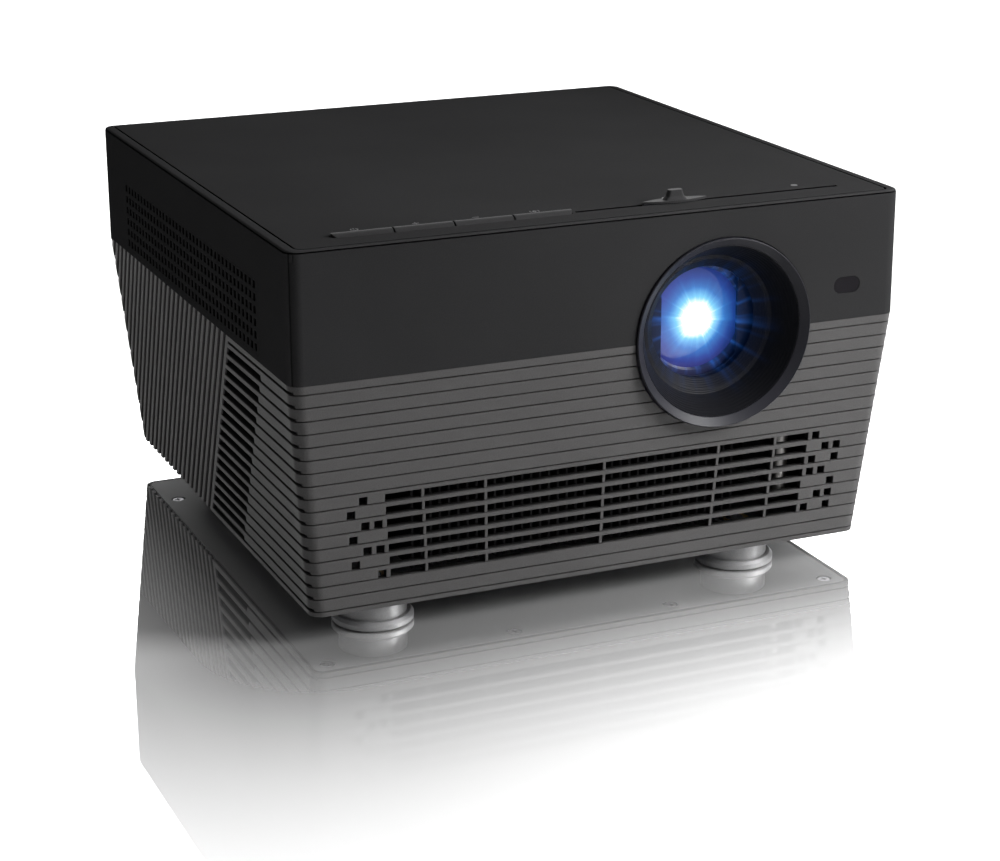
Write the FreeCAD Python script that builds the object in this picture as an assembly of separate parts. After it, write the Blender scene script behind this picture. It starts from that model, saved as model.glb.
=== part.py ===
import FreeCAD, Part
import math
import os

from FreeCAD import Vector

# A compact LED home projector. Millimetres, +Z up, front face towards -Y.
# Drawn from a point under the casing on the surface that the feet stand on; main() then moves
# everything so that the middle of the overall width and depth lies over the origin.

# --- Driving dimensions -------------------------------------------------------

BODY_W = 213.2            # casing width, X
BODY_D = 215.7            # casing depth, Y
MIDDLE_X = 0.6            # middle of the casing
MIDDLE_Y = 0.85
BASE_Z = 9.6              # underside of the casing, above the resting surface
SPLIT_Z = 88.5            # where the ribbed skirt meets the dark upper band
TOP_Z = 130.7             # top face
TAPER_SIDE = 7.2          # how far each side leans in at the bottom of the skirt
TAPER_END = 7.0           # how far the front and rear lean in
CORNER_R = 4.4            # upright corners
TOP_EDGE_R = 1.0          # rounding of the top rim
WALL = 2.4                # skirt wall
FIT = 0.3                 # clearance round a loose part

RIB_PITCH = 4.375         # height of one rib of the skirt
RIB_COUNT = 18
FIRST_RIB_Z = 85.7        # level of the first line under the split
SLOT_H = 2.83             # height of every open slot

LENS_X = 42.2             # optical axis, parallel to Y
LENS_Z = 88.9
RING_R = 31.75            # lens trim ring
RING_FRONT_Y = -108.0

KEY_Y = -93.4             # centre line of the keys and of the cover slider
KEY_TRAVEL = 0.6
COVER_TRAVEL = 47.8

FRONT_Y = MIDDLE_Y - BODY_D / 2
REAR_Y = MIDDLE_Y + BODY_D / 2
BEZEL_BACK_Y = FRONT_Y + 1.5
ROOM_HALF_X = BODY_W / 2 - 2.65       # inner faces of the upper walls
ROOM_HALF_Y = BODY_D / 2 - 3.4
PANEL_HALF_X = BODY_W / 2 - 3.35      # opening that the top panel sits in
PANEL_HALF_Y = BODY_D / 2 - 1.75
PANEL_GAP = 0.7                       # visible gap round the top panel
PANEL_T = 2.4
PANEL_UNDER_Z = TOP_Z - PANEL_T
LEDGE_Z = PANEL_UNDER_Z - 1.6         # underside of the ledge that carries the top panel

SCREW_PLACES = [(-92.0, -93.4), (-26.2, -93.0), (32.0, -93.0), (92.0, -93.4), (-92.0, 77.8), (92.0, 77.8)]
FRONT_FEET = [(-73.0, -84.5), (60.5, -84.5)]
REAR_FEET = [(-70.0, 77.0), (70.0, 77.0)]


# --- Basic shapes -------------------------------------------------------------

def box(x0, x1, y0, y1, z0, z1):
    return Part.makeBox(x1 - x0, y1 - y0, z1 - z0, Vector(x0, y0, z0))


def rod(radius, start, direction, length):
    return Part.makeCylinder(radius, length, Vector(*start), Vector(*direction))


def outline_solid(points, direction):
    """A closed outline of straight lines, pushed along a direction."""
    corners = [Vector(*point) for point in points]
    face = Part.Face(Part.makePolygon(corners + corners[:1]))
    return face.extrude(Vector(*direction))


def turned(profile, x=LENS_X, z=LENS_Z):
    """A profile of (radius, y) points turned round an axis parallel to Y."""
    corners = [Vector(x + radius, y, z) for radius, y in profile]
    face = Part.Face(Part.makePolygon(corners + corners[:1]))
    return face.revolve(Vector(x, 0, z), Vector(0, 1, 0), 360)


def turned_upright(profile, x, y):
    """A profile of (radius, z) points turned round an upright axis."""
    corners = [Vector(x + radius, y, z) for radius, z in profile]
    face = Part.Face(Part.makePolygon(corners + corners[:1]))
    return face.revolve(Vector(x, y, 0), Vector(0, 0, 1), 360)


def rounded_wire(half_x, half_y, radius, z, x=0.0, y=0.0):
    """A rectangle with round corners, level, centred on (x, y)."""
    edges = []
    for turn in range(4):
        flip = turn % 2
        reach_x, reach_y = (half_y, half_x) if flip else (half_x, half_y)
        c, s = round(math.cos(turn * math.pi / 2)), round(math.sin(turn * math.pi / 2))

        def place(u, v):
            return Vector(x + c * u - s * v, y + s * u + c * v, z)

        side_end = place(reach_x, reach_y - radius)
        edges.append(Part.LineSegment(place(reach_x, radius - reach_y), side_end).toShape())
        middle = radius * (1 - math.sqrt(0.5))
        arc = Part.Arc(side_end, place(reach_x - middle, reach_y - middle), place(reach_x - radius, reach_y))
        edges.append(arc.toShape())
    return Part.Wire(edges)


def rounded_plate(half_x, half_y, radius, z0, z1, x=0.0, y=0.0):
    face = Part.Face(rounded_wire(half_x, half_y, radius, z0, x, y))
    return face.extrude(Vector(0, 0, z1 - z0))


def stadium(length, width, x, z, y0, y1):
    """A long hole with round ends, along X, cut through from y0 to y1."""
    half = (length - width) / 2
    shape = box(x - half, x + half, y0, y1, z - width / 2, z + width / 2)
    ends = [rod(width / 2, (x + side * half, y0, z), (0, 1, 0), y1 - y0) for side in (-1, 1)]
    return fuse(shape, *ends)


def fuse(first, *others):
    return first.multiFuse(list(others)).removeSplitter()


def group(shapes):
    return Part.makeCompound(list(shapes))


def mirrored(shape):
    """The same piece on the other side of the casing's middle plane."""
    return shape.mirror(Vector(MIDDLE_X, 0, 0), Vector(1, 0, 0))


# --- The casing's outer form --------------------------------------------------

def lean(z):
    """0 at the split, 1 at the bottom of the skirt."""
    return (SPLIT_Z - z) / (SPLIT_Z - BASE_Z)


def half_width(z):
    return BODY_W / 2 - TAPER_SIDE * lean(z)


def half_depth(z):
    return BODY_D / 2 - TAPER_END * lean(z)


def side_face(side, z):
    """X of the left (-1) or right (+1) face at a level of the skirt."""
    return MIDDLE_X + side * half_width(z)


def end_face(side, z):
    """Y of the front (-1) or rear (+1) face at a level of the skirt."""
    return MIDDLE_Y + side * half_depth(z)


def casing_plate(half_x, half_y, radius, z0, z1):
    """A level plate with round corners under or in the middle of the casing."""
    return rounded_plate(half_x, half_y, radius, z0, z1, MIDDLE_X, MIDDLE_Y)


def rib_z(index):
    """Level of a rib line, counted down from the split."""
    return FIRST_RIB_Z - RIB_PITCH * index


def skirt_block(inset=0.0, z0=BASE_Z, z1=SPLIT_Z):
    """The tapered lower body, solid, drawn in by an inset."""
    radius = max(CORNER_R - inset, 1.5)
    wires = [rounded_wire(half_width(z) - inset, half_depth(z) - inset, radius, z, MIDDLE_X, MIDDLE_Y)
             for z in (z0, z1)]
    return Part.makeLoft(wires, True, True)


def skirt_shell():
    """The skirt's wall, with the rebate that the base plate sits in."""
    half_x, half_y = half_width(BASE_Z) - 1.3, half_depth(BASE_Z) - 1.3
    rebate = casing_plate(half_x, half_y, CORNER_R - 1.3, BASE_Z - 1, BASE_Z + 2.7)
    return skirt_block().cut(skirt_block(WALL, BASE_Z - 1, SPLIT_Z + 1)).cut(rebate)


def end_region(side, depth):
    """All of the skirt within a depth of its leaning front (-1) or rear (+1) face."""
    low, high = BASE_Z - 2, SPLIT_Z + 2
    points = [
        (-BODY_W, side * BODY_D, high),
        (-BODY_W, end_face(side, high) - side * depth, high),
        (-BODY_W, end_face(side, low) - side * depth, low),
        (-BODY_W, side * BODY_D, low),
    ]
    return outline_solid(points, (2 * BODY_W, 0, 0))


# --- Grooves, slots and holes of the skirt --------------------------------------

LINE_H = 0.45             # fine lines across the front and rear
LINE_DEPTH = 0.6
LINE_WRAP = 3.2           # how far the lines run round the corners
GROOVE_DEPTH = 1.4        # grooves of the side panels
GROOVE_H = 1.05
END_SEAM = 8.0            # the front and rear panels end this far behind their faces

DIAGONAL_Y = -43.95       # where the foremost diagonal rib meets the split
DIAGONAL_SLOPE = 0.662    # rearward run of the diagonal ribs per millimetre down
DIAGONAL_PITCH = 5.34
DIAGONAL_COUNT = 30

SIDE_SLOT_FRONT_Y = -75.9
SIDE_SLOT_STEP = 2.84     # each slot ends this much further back than the one above


def diagonal_y(z):
    return DIAGONAL_Y + DIAGONAL_SLOPE * (SPLIT_Z - z)


def end_lines(side):
    """Fine level lines, a little way round both corners."""
    reach = BODY_W
    slabs = []
    for index in range(RIB_COUNT):
        z = rib_z(index)
        far, near = side * BODY_D, end_face(side, z) - side * LINE_WRAP
        slabs.append(box(-reach, reach, min(far, near), max(far, near), z - LINE_H / 2, z + LINE_H / 2))
    return group(slabs).cut(skirt_block(LINE_DEPTH, BASE_Z - 1, SPLIT_Z + 1))


def side_prism(side, outline, x_in=85.0, x_out=115.0):
    """An outline of (y, z) points, pushed outwards through one side wall."""
    points = [(side * x_in, y, z) for y, z in outline]
    return outline_solid(points, (side * (x_out - x_in), 0, 0))


def groove_space(side):
    """Everything outside the floor of the side grooves, parallel to the side wall."""
    low, high = BASE_Z - 2, SPLIT_Z
    points = [
        (side * BODY_W, -BODY_D, low),
        (side_face(side, low) - side * GROOVE_DEPTH, -BODY_D, low),
        (side_face(side, high) - side * GROOVE_DEPTH, -BODY_D, high),
        (side * BODY_W, -BODY_D, high),
    ]
    return outline_solid(points, (0, 2 * BODY_D, 0))


def level_band(index, height, front_y):
    """The outline of a level band from front_y back to the foremost diagonal rib."""
    low = rib_z(index)
    high = low + height
    return [(front_y, low), (diagonal_y(low), low), (diagonal_y(high), high), (front_y, high)]


def diagonal_band(index):
    """The outline of one diagonal groove, from the split to the bottom."""
    low, high = BASE_Z - 2, SPLIT_Z
    start = DIAGONAL_PITCH * (index + 0.5)
    end = start + DIAGONAL_PITCH / 2
    return [
        (diagonal_y(low) + start, low),
        (diagonal_y(low) + end, low),
        (diagonal_y(high) + end, high),
        (diagonal_y(high) + start, high),
    ]


def side_grooves(side, height):
    bands = [level_band(index, height, -BODY_D) for index in range(RIB_COUNT)]
    bands += [diagonal_band(index) for index in range(DIAGONAL_COUNT)]
    return group(side_prism(side, band) for band in bands).common(groove_space(side))


def left_slots():
    """Intake slots: a slanting field whose front ends step back row by row."""
    fronts = [(index, SIDE_SLOT_FRONT_Y + SIDE_SLOT_STEP * (index - 1)) for index in range(1, RIB_COUNT)]
    return group(side_prism(-1, level_band(index, SLOT_H, front)) for index, front in fronts)


def right_slots():
    """Exhaust slots: the same rows, in three stretches, running on to the front corner."""
    stretches = [(-90.0, -68.0), (-66.0, -44.0), (-42.0, DIAGONAL_Y + 50.0)]
    slots = []
    for index in range(1, RIB_COUNT - 1):
        low = rib_z(index)
        high = low + SLOT_H
        limit = diagonal_y(high)
        for front, rear in stretches:
            if front < limit - SLOT_H:
                end = min(rear, limit)
                slots.append(side_prism(1, [(front, low), (end, low), (end, high), (front, high)]))
    return group(slots)


VENT_X = 1.3              # middle of the front vent
VENT_FIRST_RIB = 9
VENT_HALF = 76.3
VENT_BARS = (-63.5, -42.0, 0.0, 42.0, 63.5)
VENT_BAR_T = 0.9
VENT_NARROWING = 0.005    # each row is this much narrower than the one above
SQUARE_X = 79.1           # first column of square holes beside the slots
SQUARE_PITCH = 4.43
LEFT_SQUARES = ((1,), (2,), (0, 1), (2,), (0, 1), (2,), (0,))
RIGHT_SQUARES = ((0,), (1, 2), (0, 2), (0, 1), (2,), (1, 2), (0, 2))


def front_vent():
    """Seven rows of slots with thin bars, and scattered square holes at both ends."""
    holes = []
    for row, squares in enumerate(zip(LEFT_SQUARES, RIGHT_SQUARES)):
        low = rib_z(VENT_FIRST_RIB + row)
        scale = 1 - VENT_NARROWING * row
        stops = (-VENT_HALF,) + VENT_BARS + (VENT_HALF,)
        for index in range(len(stops) - 1):
            left = VENT_X + scale * stops[index] + (VENT_BAR_T / 2 if index else 0)
            right = VENT_X + scale * stops[index + 1] - (VENT_BAR_T / 2 if index < len(VENT_BARS) else 0)
            holes.append(box(left, right, FRONT_Y - 5, FRONT_Y + 20, low, low + SLOT_H))
        for side, columns in zip((-1, 1), squares):
            for column in columns:
                x = VENT_X + side * scale * (SQUARE_X + SQUARE_PITCH * column)
                half = SLOT_H / 2
                holes.append(box(x - half, x + half, FRONT_Y - 5, FRONT_Y + 20, low, low + SLOT_H))
    return group(holes)


def ring_hole():
    return rod(RING_R + 0.25, (LENS_X, FRONT_Y - 10, LENS_Z), (0, 1, 0), 30)


# --- Casing parts -------------------------------------------------------------

def front_grille():
    """Lower front with both corners, the fine lines, the vent and half of the lens hole."""
    panel = skirt_shell().common(end_region(-1, END_SEAM))
    for side in (-1, 1):
        height = GROOVE_H if side < 0 else SLOT_H
        panel = panel.cut(side_grooves(side, height))
    posts = []
    for x, y in SCREW_PLACES[1:3]:
        post = box(x - 3.5, x + 3.5, -98.5, y + 3.5, BASE_Z + 2.8, 16.6)
        posts.append(post.cut(rod(1.25, (x, y, BASE_Z), (0, 0, 1), 7.0)))
    panel = fuse(panel, *[post.common(skirt_block()) for post in posts])
    return panel.cut(end_lines(-1)).cut(front_vent()).cut(ring_hole())


def side_grille(side):
    """One ribbed side: diagonal ribs behind, level ribs and open slots before them."""
    panel = skirt_shell().common(box(0, BODY_W, -BODY_D, BODY_D, 0, TOP_Z) if side > 0
                                 else box(-BODY_W, 0, -BODY_D, BODY_D, 0, TOP_Z))
    panel = panel.cut(end_region(-1, END_SEAM)).cut(end_region(1, END_SEAM))
    height = GROOVE_H if side < 0 else SLOT_H
    slots = left_slots() if side < 0 else right_slots()
    return panel.cut(side_grooves(side, height)).cut(slots)


BOARD_T = 1.6
MAIN_BOARD_Z = 25.2
SOCKET_H = 5.6
BAY = (-16.0, 88.0, 20.0, 47.0)       # connector bay: x0, x1, z0, z1
BAY_FLOOR_Y = REAR_Y - 7.6
HDMI_X = (-2.0, 20.0)
USB_X = (40.0, 58.0)
JACK_X = 75.0
PORT_Z = MAIN_BOARD_Z + BOARD_T + SOCKET_H / 2
INLET_X = -64.0
INLET_Z = 34.0
INLET_W = 27.0
INLET_H = 20.0
SECURITY_X = 80.0
SECURITY_Z = 62.0


def rear_panel():
    """Lower rear with both corners, the connector bay, the inlet hole and exhaust slots."""
    panel = skirt_shell().common(end_region(1, END_SEAM))
    for side in (-1, 1):
        panel = panel.cut(side_grooves(side, GROOVE_H))
    panel = panel.cut(end_lines(1))
    x0, x1, z0, z1 = BAY
    backing = box(x0 - 2, x1 + 2, BAY_FLOOR_Y - 1.8, REAR_Y, z0 - 2, z1 + 2).common(skirt_block(0.8))
    panel = fuse(panel, backing).cut(box(x0, x1, BAY_FLOOR_Y, REAR_Y + 2, z0, z1))
    through = (BAY_FLOOR_Y - 5, REAR_Y + 5)
    half = SOCKET_H / 2 + 0.15
    for places, half_w in ((HDMI_X, 7.65), (USB_X, 6.75)):
        for x in places:
            panel = panel.cut(box(x - half_w, x + half_w, *through, PORT_Z - half, PORT_Z + half))
    panel = panel.cut(rod(SOCKET_H / 2 + 0.1, (JACK_X, BAY_FLOOR_Y - 5, PORT_Z), (0, 1, 0), 12))
    half_w, half_h = INLET_W / 2 + 0.1, INLET_H / 2 + 0.1
    panel = panel.cut(box(INLET_X - half_w, INLET_X + half_w, *through, INLET_Z - half_h, INLET_Z + half_h))
    panel = panel.cut(box(SECURITY_X - 3.5, SECURITY_X + 3.5, *through, SECURITY_Z - 1.5, SECURITY_Z + 1.5))
    slots = [box(x - 0.9, x + 0.9, *through, 56.0, 80.0) for x in range(-84, -19, 4)]
    return panel.cut(group(slots))


PERFORATION = 2.5         # side of one square speaker hole
PERFORATION_PITCH = 4.08
PERFORATION_COLUMNS = 38
PERFORATION_ROWS = 6
PERFORATION_Y = 2.1       # middle of the perforated field
PERFORATION_Z = 102.9
GRILLE_HALF_Y = 78.0
GRILLE_HALF_Z = 12.2


def grille_field(side, x_in, x_out):
    """The rectangle of side wall that carries the speaker holes."""
    inner, outer = sorted((MIDDLE_X + side * x_in, MIDDLE_X + side * x_out))
    y0, y1 = PERFORATION_Y - GRILLE_HALF_Y, PERFORATION_Y + GRILLE_HALF_Y
    return box(inner, outer, y0, y1, PERFORATION_Z - GRILLE_HALF_Z, PERFORATION_Z + GRILLE_HALF_Z)


def speaker_grille(side):
    holes = []
    for column in range(PERFORATION_COLUMNS):
        y = PERFORATION_Y + PERFORATION_PITCH * (column - (PERFORATION_COLUMNS - 1) / 2)
        for row in range(PERFORATION_ROWS):
            z = PERFORATION_Z + PERFORATION_PITCH * (row - (PERFORATION_ROWS - 1) / 2)
            half = PERFORATION / 2
            outline = [(y - half, z - half), (y + half, z - half), (y + half, z + half), (y - half, z + half)]
            holes.append(side_prism(side, outline, 100.0, 110.0))
    return grille_field(side, ROOM_HALF_X, BODY_W / 2).cut(group(holes))


BEZEL_LIP_T = 0.7         # the bezel's upper edge, thinned to pass in front of the rim's wall
BEZEL_STEP_Z = PANEL_UNDER_Z - 1.0
RIM_LINE_Z = (TOP_Z - 0.95, TOP_Z - 0.5)      # the fine line under the rim, all round
SEAM = 0.45               # visible width and depth of a seam in the upper band


def upper_block():
    """The upper band, solid, with its top rim rounded."""
    block = casing_plate(BODY_W / 2, BODY_D / 2, CORNER_R, SPLIT_Z, TOP_Z)
    rim = [edge for edge in block.Edges if all(abs(v.Z - TOP_Z) < 1e-6 for v in edge.Vertexes)]
    return block.makeFillet(TOP_EDGE_R, rim)


def bezel_space(top_z):
    """The slab that the bezel fills, with its thinner upper edge ending at top_z."""
    slab = box(-BODY_W, BODY_W, FRONT_Y - 1, BEZEL_BACK_Y, 0, BEZEL_STEP_Z)
    return fuse(slab, box(-BODY_W, BODY_W, FRONT_Y - 1, FRONT_Y + BEZEL_LIP_T, 0, top_z))


def band_seams():
    """The line under the rim, and the upright seams behind the bezel's ends."""
    core = casing_plate(BODY_W / 2 - SEAM, BODY_D / 2 - SEAM, CORNER_R - SEAM, SPLIT_Z - 1, TOP_Z + 1)
    rim_line = box(-BODY_W, BODY_W, -BODY_D, BODY_D, *RIM_LINE_Z)
    upright = box(-BODY_W, BODY_W, BEZEL_BACK_Y, BEZEL_BACK_Y + SEAM, SPLIT_Z, RIM_LINE_Z[1])
    return fuse(rim_line, upright).cut(core)


def screw_post(x, y):
    """A post from the ledge down to a case screw, with a web to the nearest side wall."""
    wall_x = MIDDLE_X + math.copysign(ROOM_HALF_X + 0.5, x)
    post = box(x - 3.5, x + 3.5, y - 3.5, y + 3.5, BASE_Z + 2.8, LEDGE_Z + 0.5)
    web = box(min(x, wall_x), max(x, wall_x), y - 1, y + 1, 92.0, LEDGE_Z)
    return fuse(post, web).cut(rod(1.25, (x, y, BASE_Z), (0, 0, 1), 10))


def upper_housing():
    """Side walls, rear wall and rim, the ledge for the top panel, four screw posts."""
    shell = upper_block().cut(bezel_space(RIM_LINE_Z[1]))
    shell = shell.cut(casing_plate(ROOM_HALF_X, ROOM_HALF_Y, 3.2, SPLIT_Z - 1, LEDGE_Z))
    shell = shell.cut(casing_plate(PANEL_HALF_X - 3.1, PANEL_HALF_Y - 3.8, 2.0, LEDGE_Z - 1, TOP_Z))
    shell = shell.cut(casing_plate(PANEL_HALF_X, PANEL_HALF_Y, 3.0, PANEL_UNDER_Z, TOP_Z + 1))
    shell = shell.cut(band_seams())
    shell = fuse(shell, *[screw_post(x, y) for x, y in SCREW_PLACES if abs(x) > 50])
    shell = shell.cut(box(-86, 97, BEZEL_BACK_Y - 1, -98.5, SPLIT_Z - 1, 124.0))
    for side in (-1, 1):
        shell = shell.cut(grille_field(side, ROOM_HALF_X - 1, BODY_W / 2 + 1))
    return shell


WINDOW_X = 87.8           # infrared window in the bezel
WINDOW_Z = 100.25
RECEIVER_Y = -99.5        # front of the receiver's board


def front_bezel():
    """Thin smooth front slab of the upper band, with two pegs for the receiver's board."""
    plate = upper_block().common(bezel_space(RIM_LINE_Z[0]))
    plate = plate.cut(ring_hole()).cut(stadium(9.9, 5.5, WINDOW_X, WINDOW_Z, FRONT_Y - 1, BEZEL_BACK_Y + 1))
    pegs = [rod(1.3, (x, BEZEL_BACK_Y - 0.2, WINDOW_Z - 4.5), (0, 1, 0), RECEIVER_Y - BEZEL_BACK_Y + 0.2)
            for x in (WINDOW_X - 5.5, WINDOW_X + 5.5)]
    return fuse(plate, *pegs)


def ir_window():
    return stadium(9.7, 5.3, WINDOW_X, WINDOW_Z, FRONT_Y + 0.15, BEZEL_BACK_Y + 0.5)


KEY_ROW = (-87.3, -6.6)   # both ends of the row of keys
KEY_COUNT = 4
KEY_W = 4.2
KEY_GAP = 0.6
SLIDER_SLOT = (-5.2, 90.7)
SLIDER_SLOT_W = 1.9


def top_panel():
    """The flush lid, with the long key slot and the cover slider's slot."""
    half_x, half_y = PANEL_HALF_X - PANEL_GAP, PANEL_HALF_Y - PANEL_GAP
    plate = casing_plate(half_x, half_y, 3.0 - PANEL_GAP, PANEL_UNDER_Z, TOP_Z)
    keys = rounded_plate((KEY_ROW[1] - KEY_ROW[0]) / 2 + 0.3, KEY_W / 2 + 0.3, KEY_W / 2 + 0.29,
                         PANEL_UNDER_Z - 1, TOP_Z + 1, sum(KEY_ROW) / 2, KEY_Y)
    half = SLIDER_SLOT_W / 2
    slot = box(*SLIDER_SLOT, KEY_Y - half, KEY_Y + half, PANEL_UNDER_Z - 1, TOP_Z + 1)
    board_top = SWITCH_TOP_Z - SWITCH_H
    bosses = [rod(2.0, (x, KEY_Y + 6.0, board_top), (0, 0, 1), PANEL_UNDER_Z - board_top + 0.5)
              for x in (KEY_ROW[0] + 10, KEY_ROW[1] - 10)]
    return fuse(plate.cut(keys).cut(slot), *bosses)


MOUNT_X = -3.5            # middle of the ceiling-mount hole pattern
MOUNT_Y = 10.0
MOUNT_SPACING = 100.0
MOUNT_HOLE_R = 1.65
TRIPOD_Y = -22.0
TRIPOD_HOLE_R = 2.55


def mount_places():
    half = MOUNT_SPACING / 2
    return [(MOUNT_X + i * half, MOUNT_Y + j * half) for i in (-1, 1) for j in (-1, 1)]


def base_plate():
    """Inset bottom plate with screw recesses, mounting bosses and holes for the feet."""
    half_x, half_y = half_width(BASE_Z) - 1.6, half_depth(BASE_Z) - 1.6
    plate = casing_plate(half_x, half_y, CORNER_R - 1.6, BASE_Z, BASE_Z + 2.4)
    bosses = [rod(4.5, (x, y, BASE_Z + 1), (0, 0, 1), 6.4) for x, y in mount_places()]
    bosses.append(rod(7.0, (MOUNT_X, TRIPOD_Y, BASE_Z + 1), (0, 0, 1), 7.4))
    bosses += [rod(7.5, (x, y, BASE_Z + 1), (0, 0, 1), 4.4) for x, y in FRONT_FEET]
    plate = fuse(plate, *bosses)
    for x, y in mount_places():
        plate = plate.cut(rod(MOUNT_HOLE_R, (x, y, BASE_Z - 1), (0, 0, 1), 7.4))
    plate = plate.cut(rod(TRIPOD_HOLE_R, (MOUNT_X, TRIPOD_Y, BASE_Z - 1), (0, 0, 1), 8.0))
    for x, y in FRONT_FEET:
        plate = plate.cut(rod(5.0, (x, y, BASE_Z - 1), (0, 0, 1), 10))
    for x, y in SCREW_PLACES:
        plate = plate.cut(rod(2.6, (x, y, BASE_Z - 1), (0, 0, 1), 2.7))
        plate = plate.cut(rod(1.5, (x, y, BASE_Z), (0, 0, 1), 5))
    return plate


def case_screws():
    """Six cross-head screws sunk into the base plate."""
    screws = []
    for x, y in SCREW_PLACES:
        profile = [(0, BASE_Z + 0.2), (2.0, BASE_Z + 0.2), (2.3, BASE_Z + 0.5), (2.3, BASE_Z + 1.6),
                   (1.2, BASE_Z + 1.6), (1.2, 16.2), (0, 16.5)]
        screw = turned_upright(profile, x, y)
        for along, across in ((1.3, 0.3), (0.3, 1.3)):
            screw = screw.cut(box(x - along, x + along, y - across, y + across, BASE_Z, BASE_Z + 1.0))
        screws.append(screw)
    return group(screws)


# --- Feet ---------------------------------------------------------------------

FOOT_R = 13.5
COLLAR_R = 11.2
PAD_R = 11.5


def foot_disc(x, y, collar_top):
    """A round foot: wide lower disc, recess for the pad, narrower collar."""
    profile = [(0, 0.9), (PAD_R + 0.2, 0.9), (PAD_R + 0.2, 0.4), (FOOT_R - 0.3, 0.4), (FOOT_R, 0.7),
               (FOOT_R, 2.2), (FOOT_R - 1.0, 3.2), (COLLAR_R, 3.2), (COLLAR_R, collar_top), (0, collar_top)]
    return turned_upright(profile, x, y)


def front_foot(x, y):
    """An adjustable foot with its threaded stud."""
    return fuse(foot_disc(x, y, BASE_Z - FIT), rod(3.0, (x, y, 3.0), (0, 0, 1), 12.2))


def foot_pad(x, y):
    """A rubber pad that the foot stands on, hollow in the middle."""
    profile = [(0, 0.4), (3.5, 0.4), (4.0, 0.0), (PAD_R - 0.4, 0.0), (PAD_R, 0.4), (PAD_R, 0.9), (0, 0.9)]
    return turned_upright(profile, x, y)


def rear_feet():
    return group(foot_disc(x, y, BASE_Z) for x, y in REAR_FEET)


def rear_pads():
    return group(foot_pad(x, y) for x, y in REAR_FEET)


def foot_inserts():
    """Brass bushes in the base plate that the front feet screw into."""
    inserts = []
    for x, y in FRONT_FEET:
        bush = rod(5.0, (x, y, BASE_Z), (0, 0, 1), 5.4)
        inserts.append(bush.cut(rod(3.06, (x, y, BASE_Z - 1), (0, 0, 1), 8)))
    return group(inserts)


# --- Keys and cover slider ------------------------------------------------------

def key_cap(index):
    """One long key: arched top, stem through the slot, retaining flange below the lid."""
    pitch = (KEY_ROW[1] - KEY_ROW[0]) / KEY_COUNT
    x0 = KEY_ROW[0] + pitch * index + (KEY_GAP / 2 if index else 0)
    x1 = KEY_ROW[0] + pitch * (index + 1) - (KEY_GAP / 2 if index < KEY_COUNT - 1 else 0)
    half = KEY_W / 2
    crown_z = TOP_Z + 1.1
    shoulder_z = TOP_Z - 0.2
    bottom_z = PANEL_UNDER_Z - FIT
    left, right = Vector(x0, KEY_Y - half, shoulder_z), Vector(x0, KEY_Y + half, shoulder_z)
    foot_left, foot_right = Vector(x0, KEY_Y - half, bottom_z), Vector(x0, KEY_Y + half, bottom_z)
    edges = [
        Part.LineSegment(foot_left, left).toShape(),
        Part.Arc(left, Vector(x0, KEY_Y, crown_z), right).toShape(),
        Part.LineSegment(right, foot_right).toShape(),
        Part.LineSegment(foot_right, foot_left).toShape(),
    ]
    cap = Part.Face(Part.Wire(edges)).extrude(Vector(x1 - x0, 0, 0))
    plan_x = (x0 - 10 if index else x0, x1 + 10 if index < KEY_COUNT - 1 else x1)
    plan = rounded_plate((plan_x[1] - plan_x[0]) / 2, half, half - 0.01, PANEL_UNDER_Z - 2, TOP_Z + 3,
                         sum(plan_x) / 2, KEY_Y)
    flange = box(x0 + 1.2, x1 - 1.2, KEY_Y - half - 1, KEY_Y + half + 1, bottom_z - 1.2, bottom_z)
    return fuse(cap.common(plan), flange)


SWITCH_TOP_Z = PANEL_UNDER_Z - FIT - 1.2 - KEY_TRAVEL - 0.2
SWITCH_H = 3.4


def key_centre_x(index):
    return KEY_ROW[0] + (KEY_ROW[1] - KEY_ROW[0]) / KEY_COUNT * (index + 0.5)


def keypad_board():
    top = SWITCH_TOP_Z - SWITCH_H
    return box(-87.0, -3.0, KEY_Y - 4.5, KEY_Y + 8.5, top - BOARD_T, top)


def tact_switches():
    """Four small switches: square body and round plunger."""
    switches = []
    for index in range(KEY_COUNT):
        x = key_centre_x(index)
        low = SWITCH_TOP_Z - SWITCH_H
        body = box(x - 3, x + 3, KEY_Y - 3, KEY_Y + 3, low, low + 2.4)
        switches.append(fuse(body, rod(1.7, (x, KEY_Y, low + 2), (0, 0, 1), SWITCH_H - 2)))
    return group(switches)


KNOB_X = 30.2             # slider knob with the cover open
LEAF_FRONT_Y = -91.4
LEAF_T = 1.0
LEAF_X = (-25.0, 23.2)
LEAF_HALF_H = 25.0
ARM_X = (19.0, 23.0)


def lens_cover():
    """The sliding leaf behind the hood, with the cranked arm up to the slider slot."""
    leaf = box(*LEAF_X, LEAF_FRONT_Y, LEAF_FRONT_Y + LEAF_T, LENS_Z - LEAF_HALF_H, LENS_Z + LEAF_HALF_H)
    rise = box(*ARM_X, LEAF_FRONT_Y, LEAF_FRONT_Y + LEAF_T, LENS_Z + LEAF_HALF_H - 1, 120.5)
    crank = box(*ARM_X, KEY_Y - 0.75, LEAF_FRONT_Y + LEAF_T, 119.0, 120.5)
    stem = box(*ARM_X, KEY_Y - 0.75, KEY_Y + 0.75, 119.0, TOP_Z + 0.2)
    return fuse(leaf, rise, crank, stem)


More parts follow.
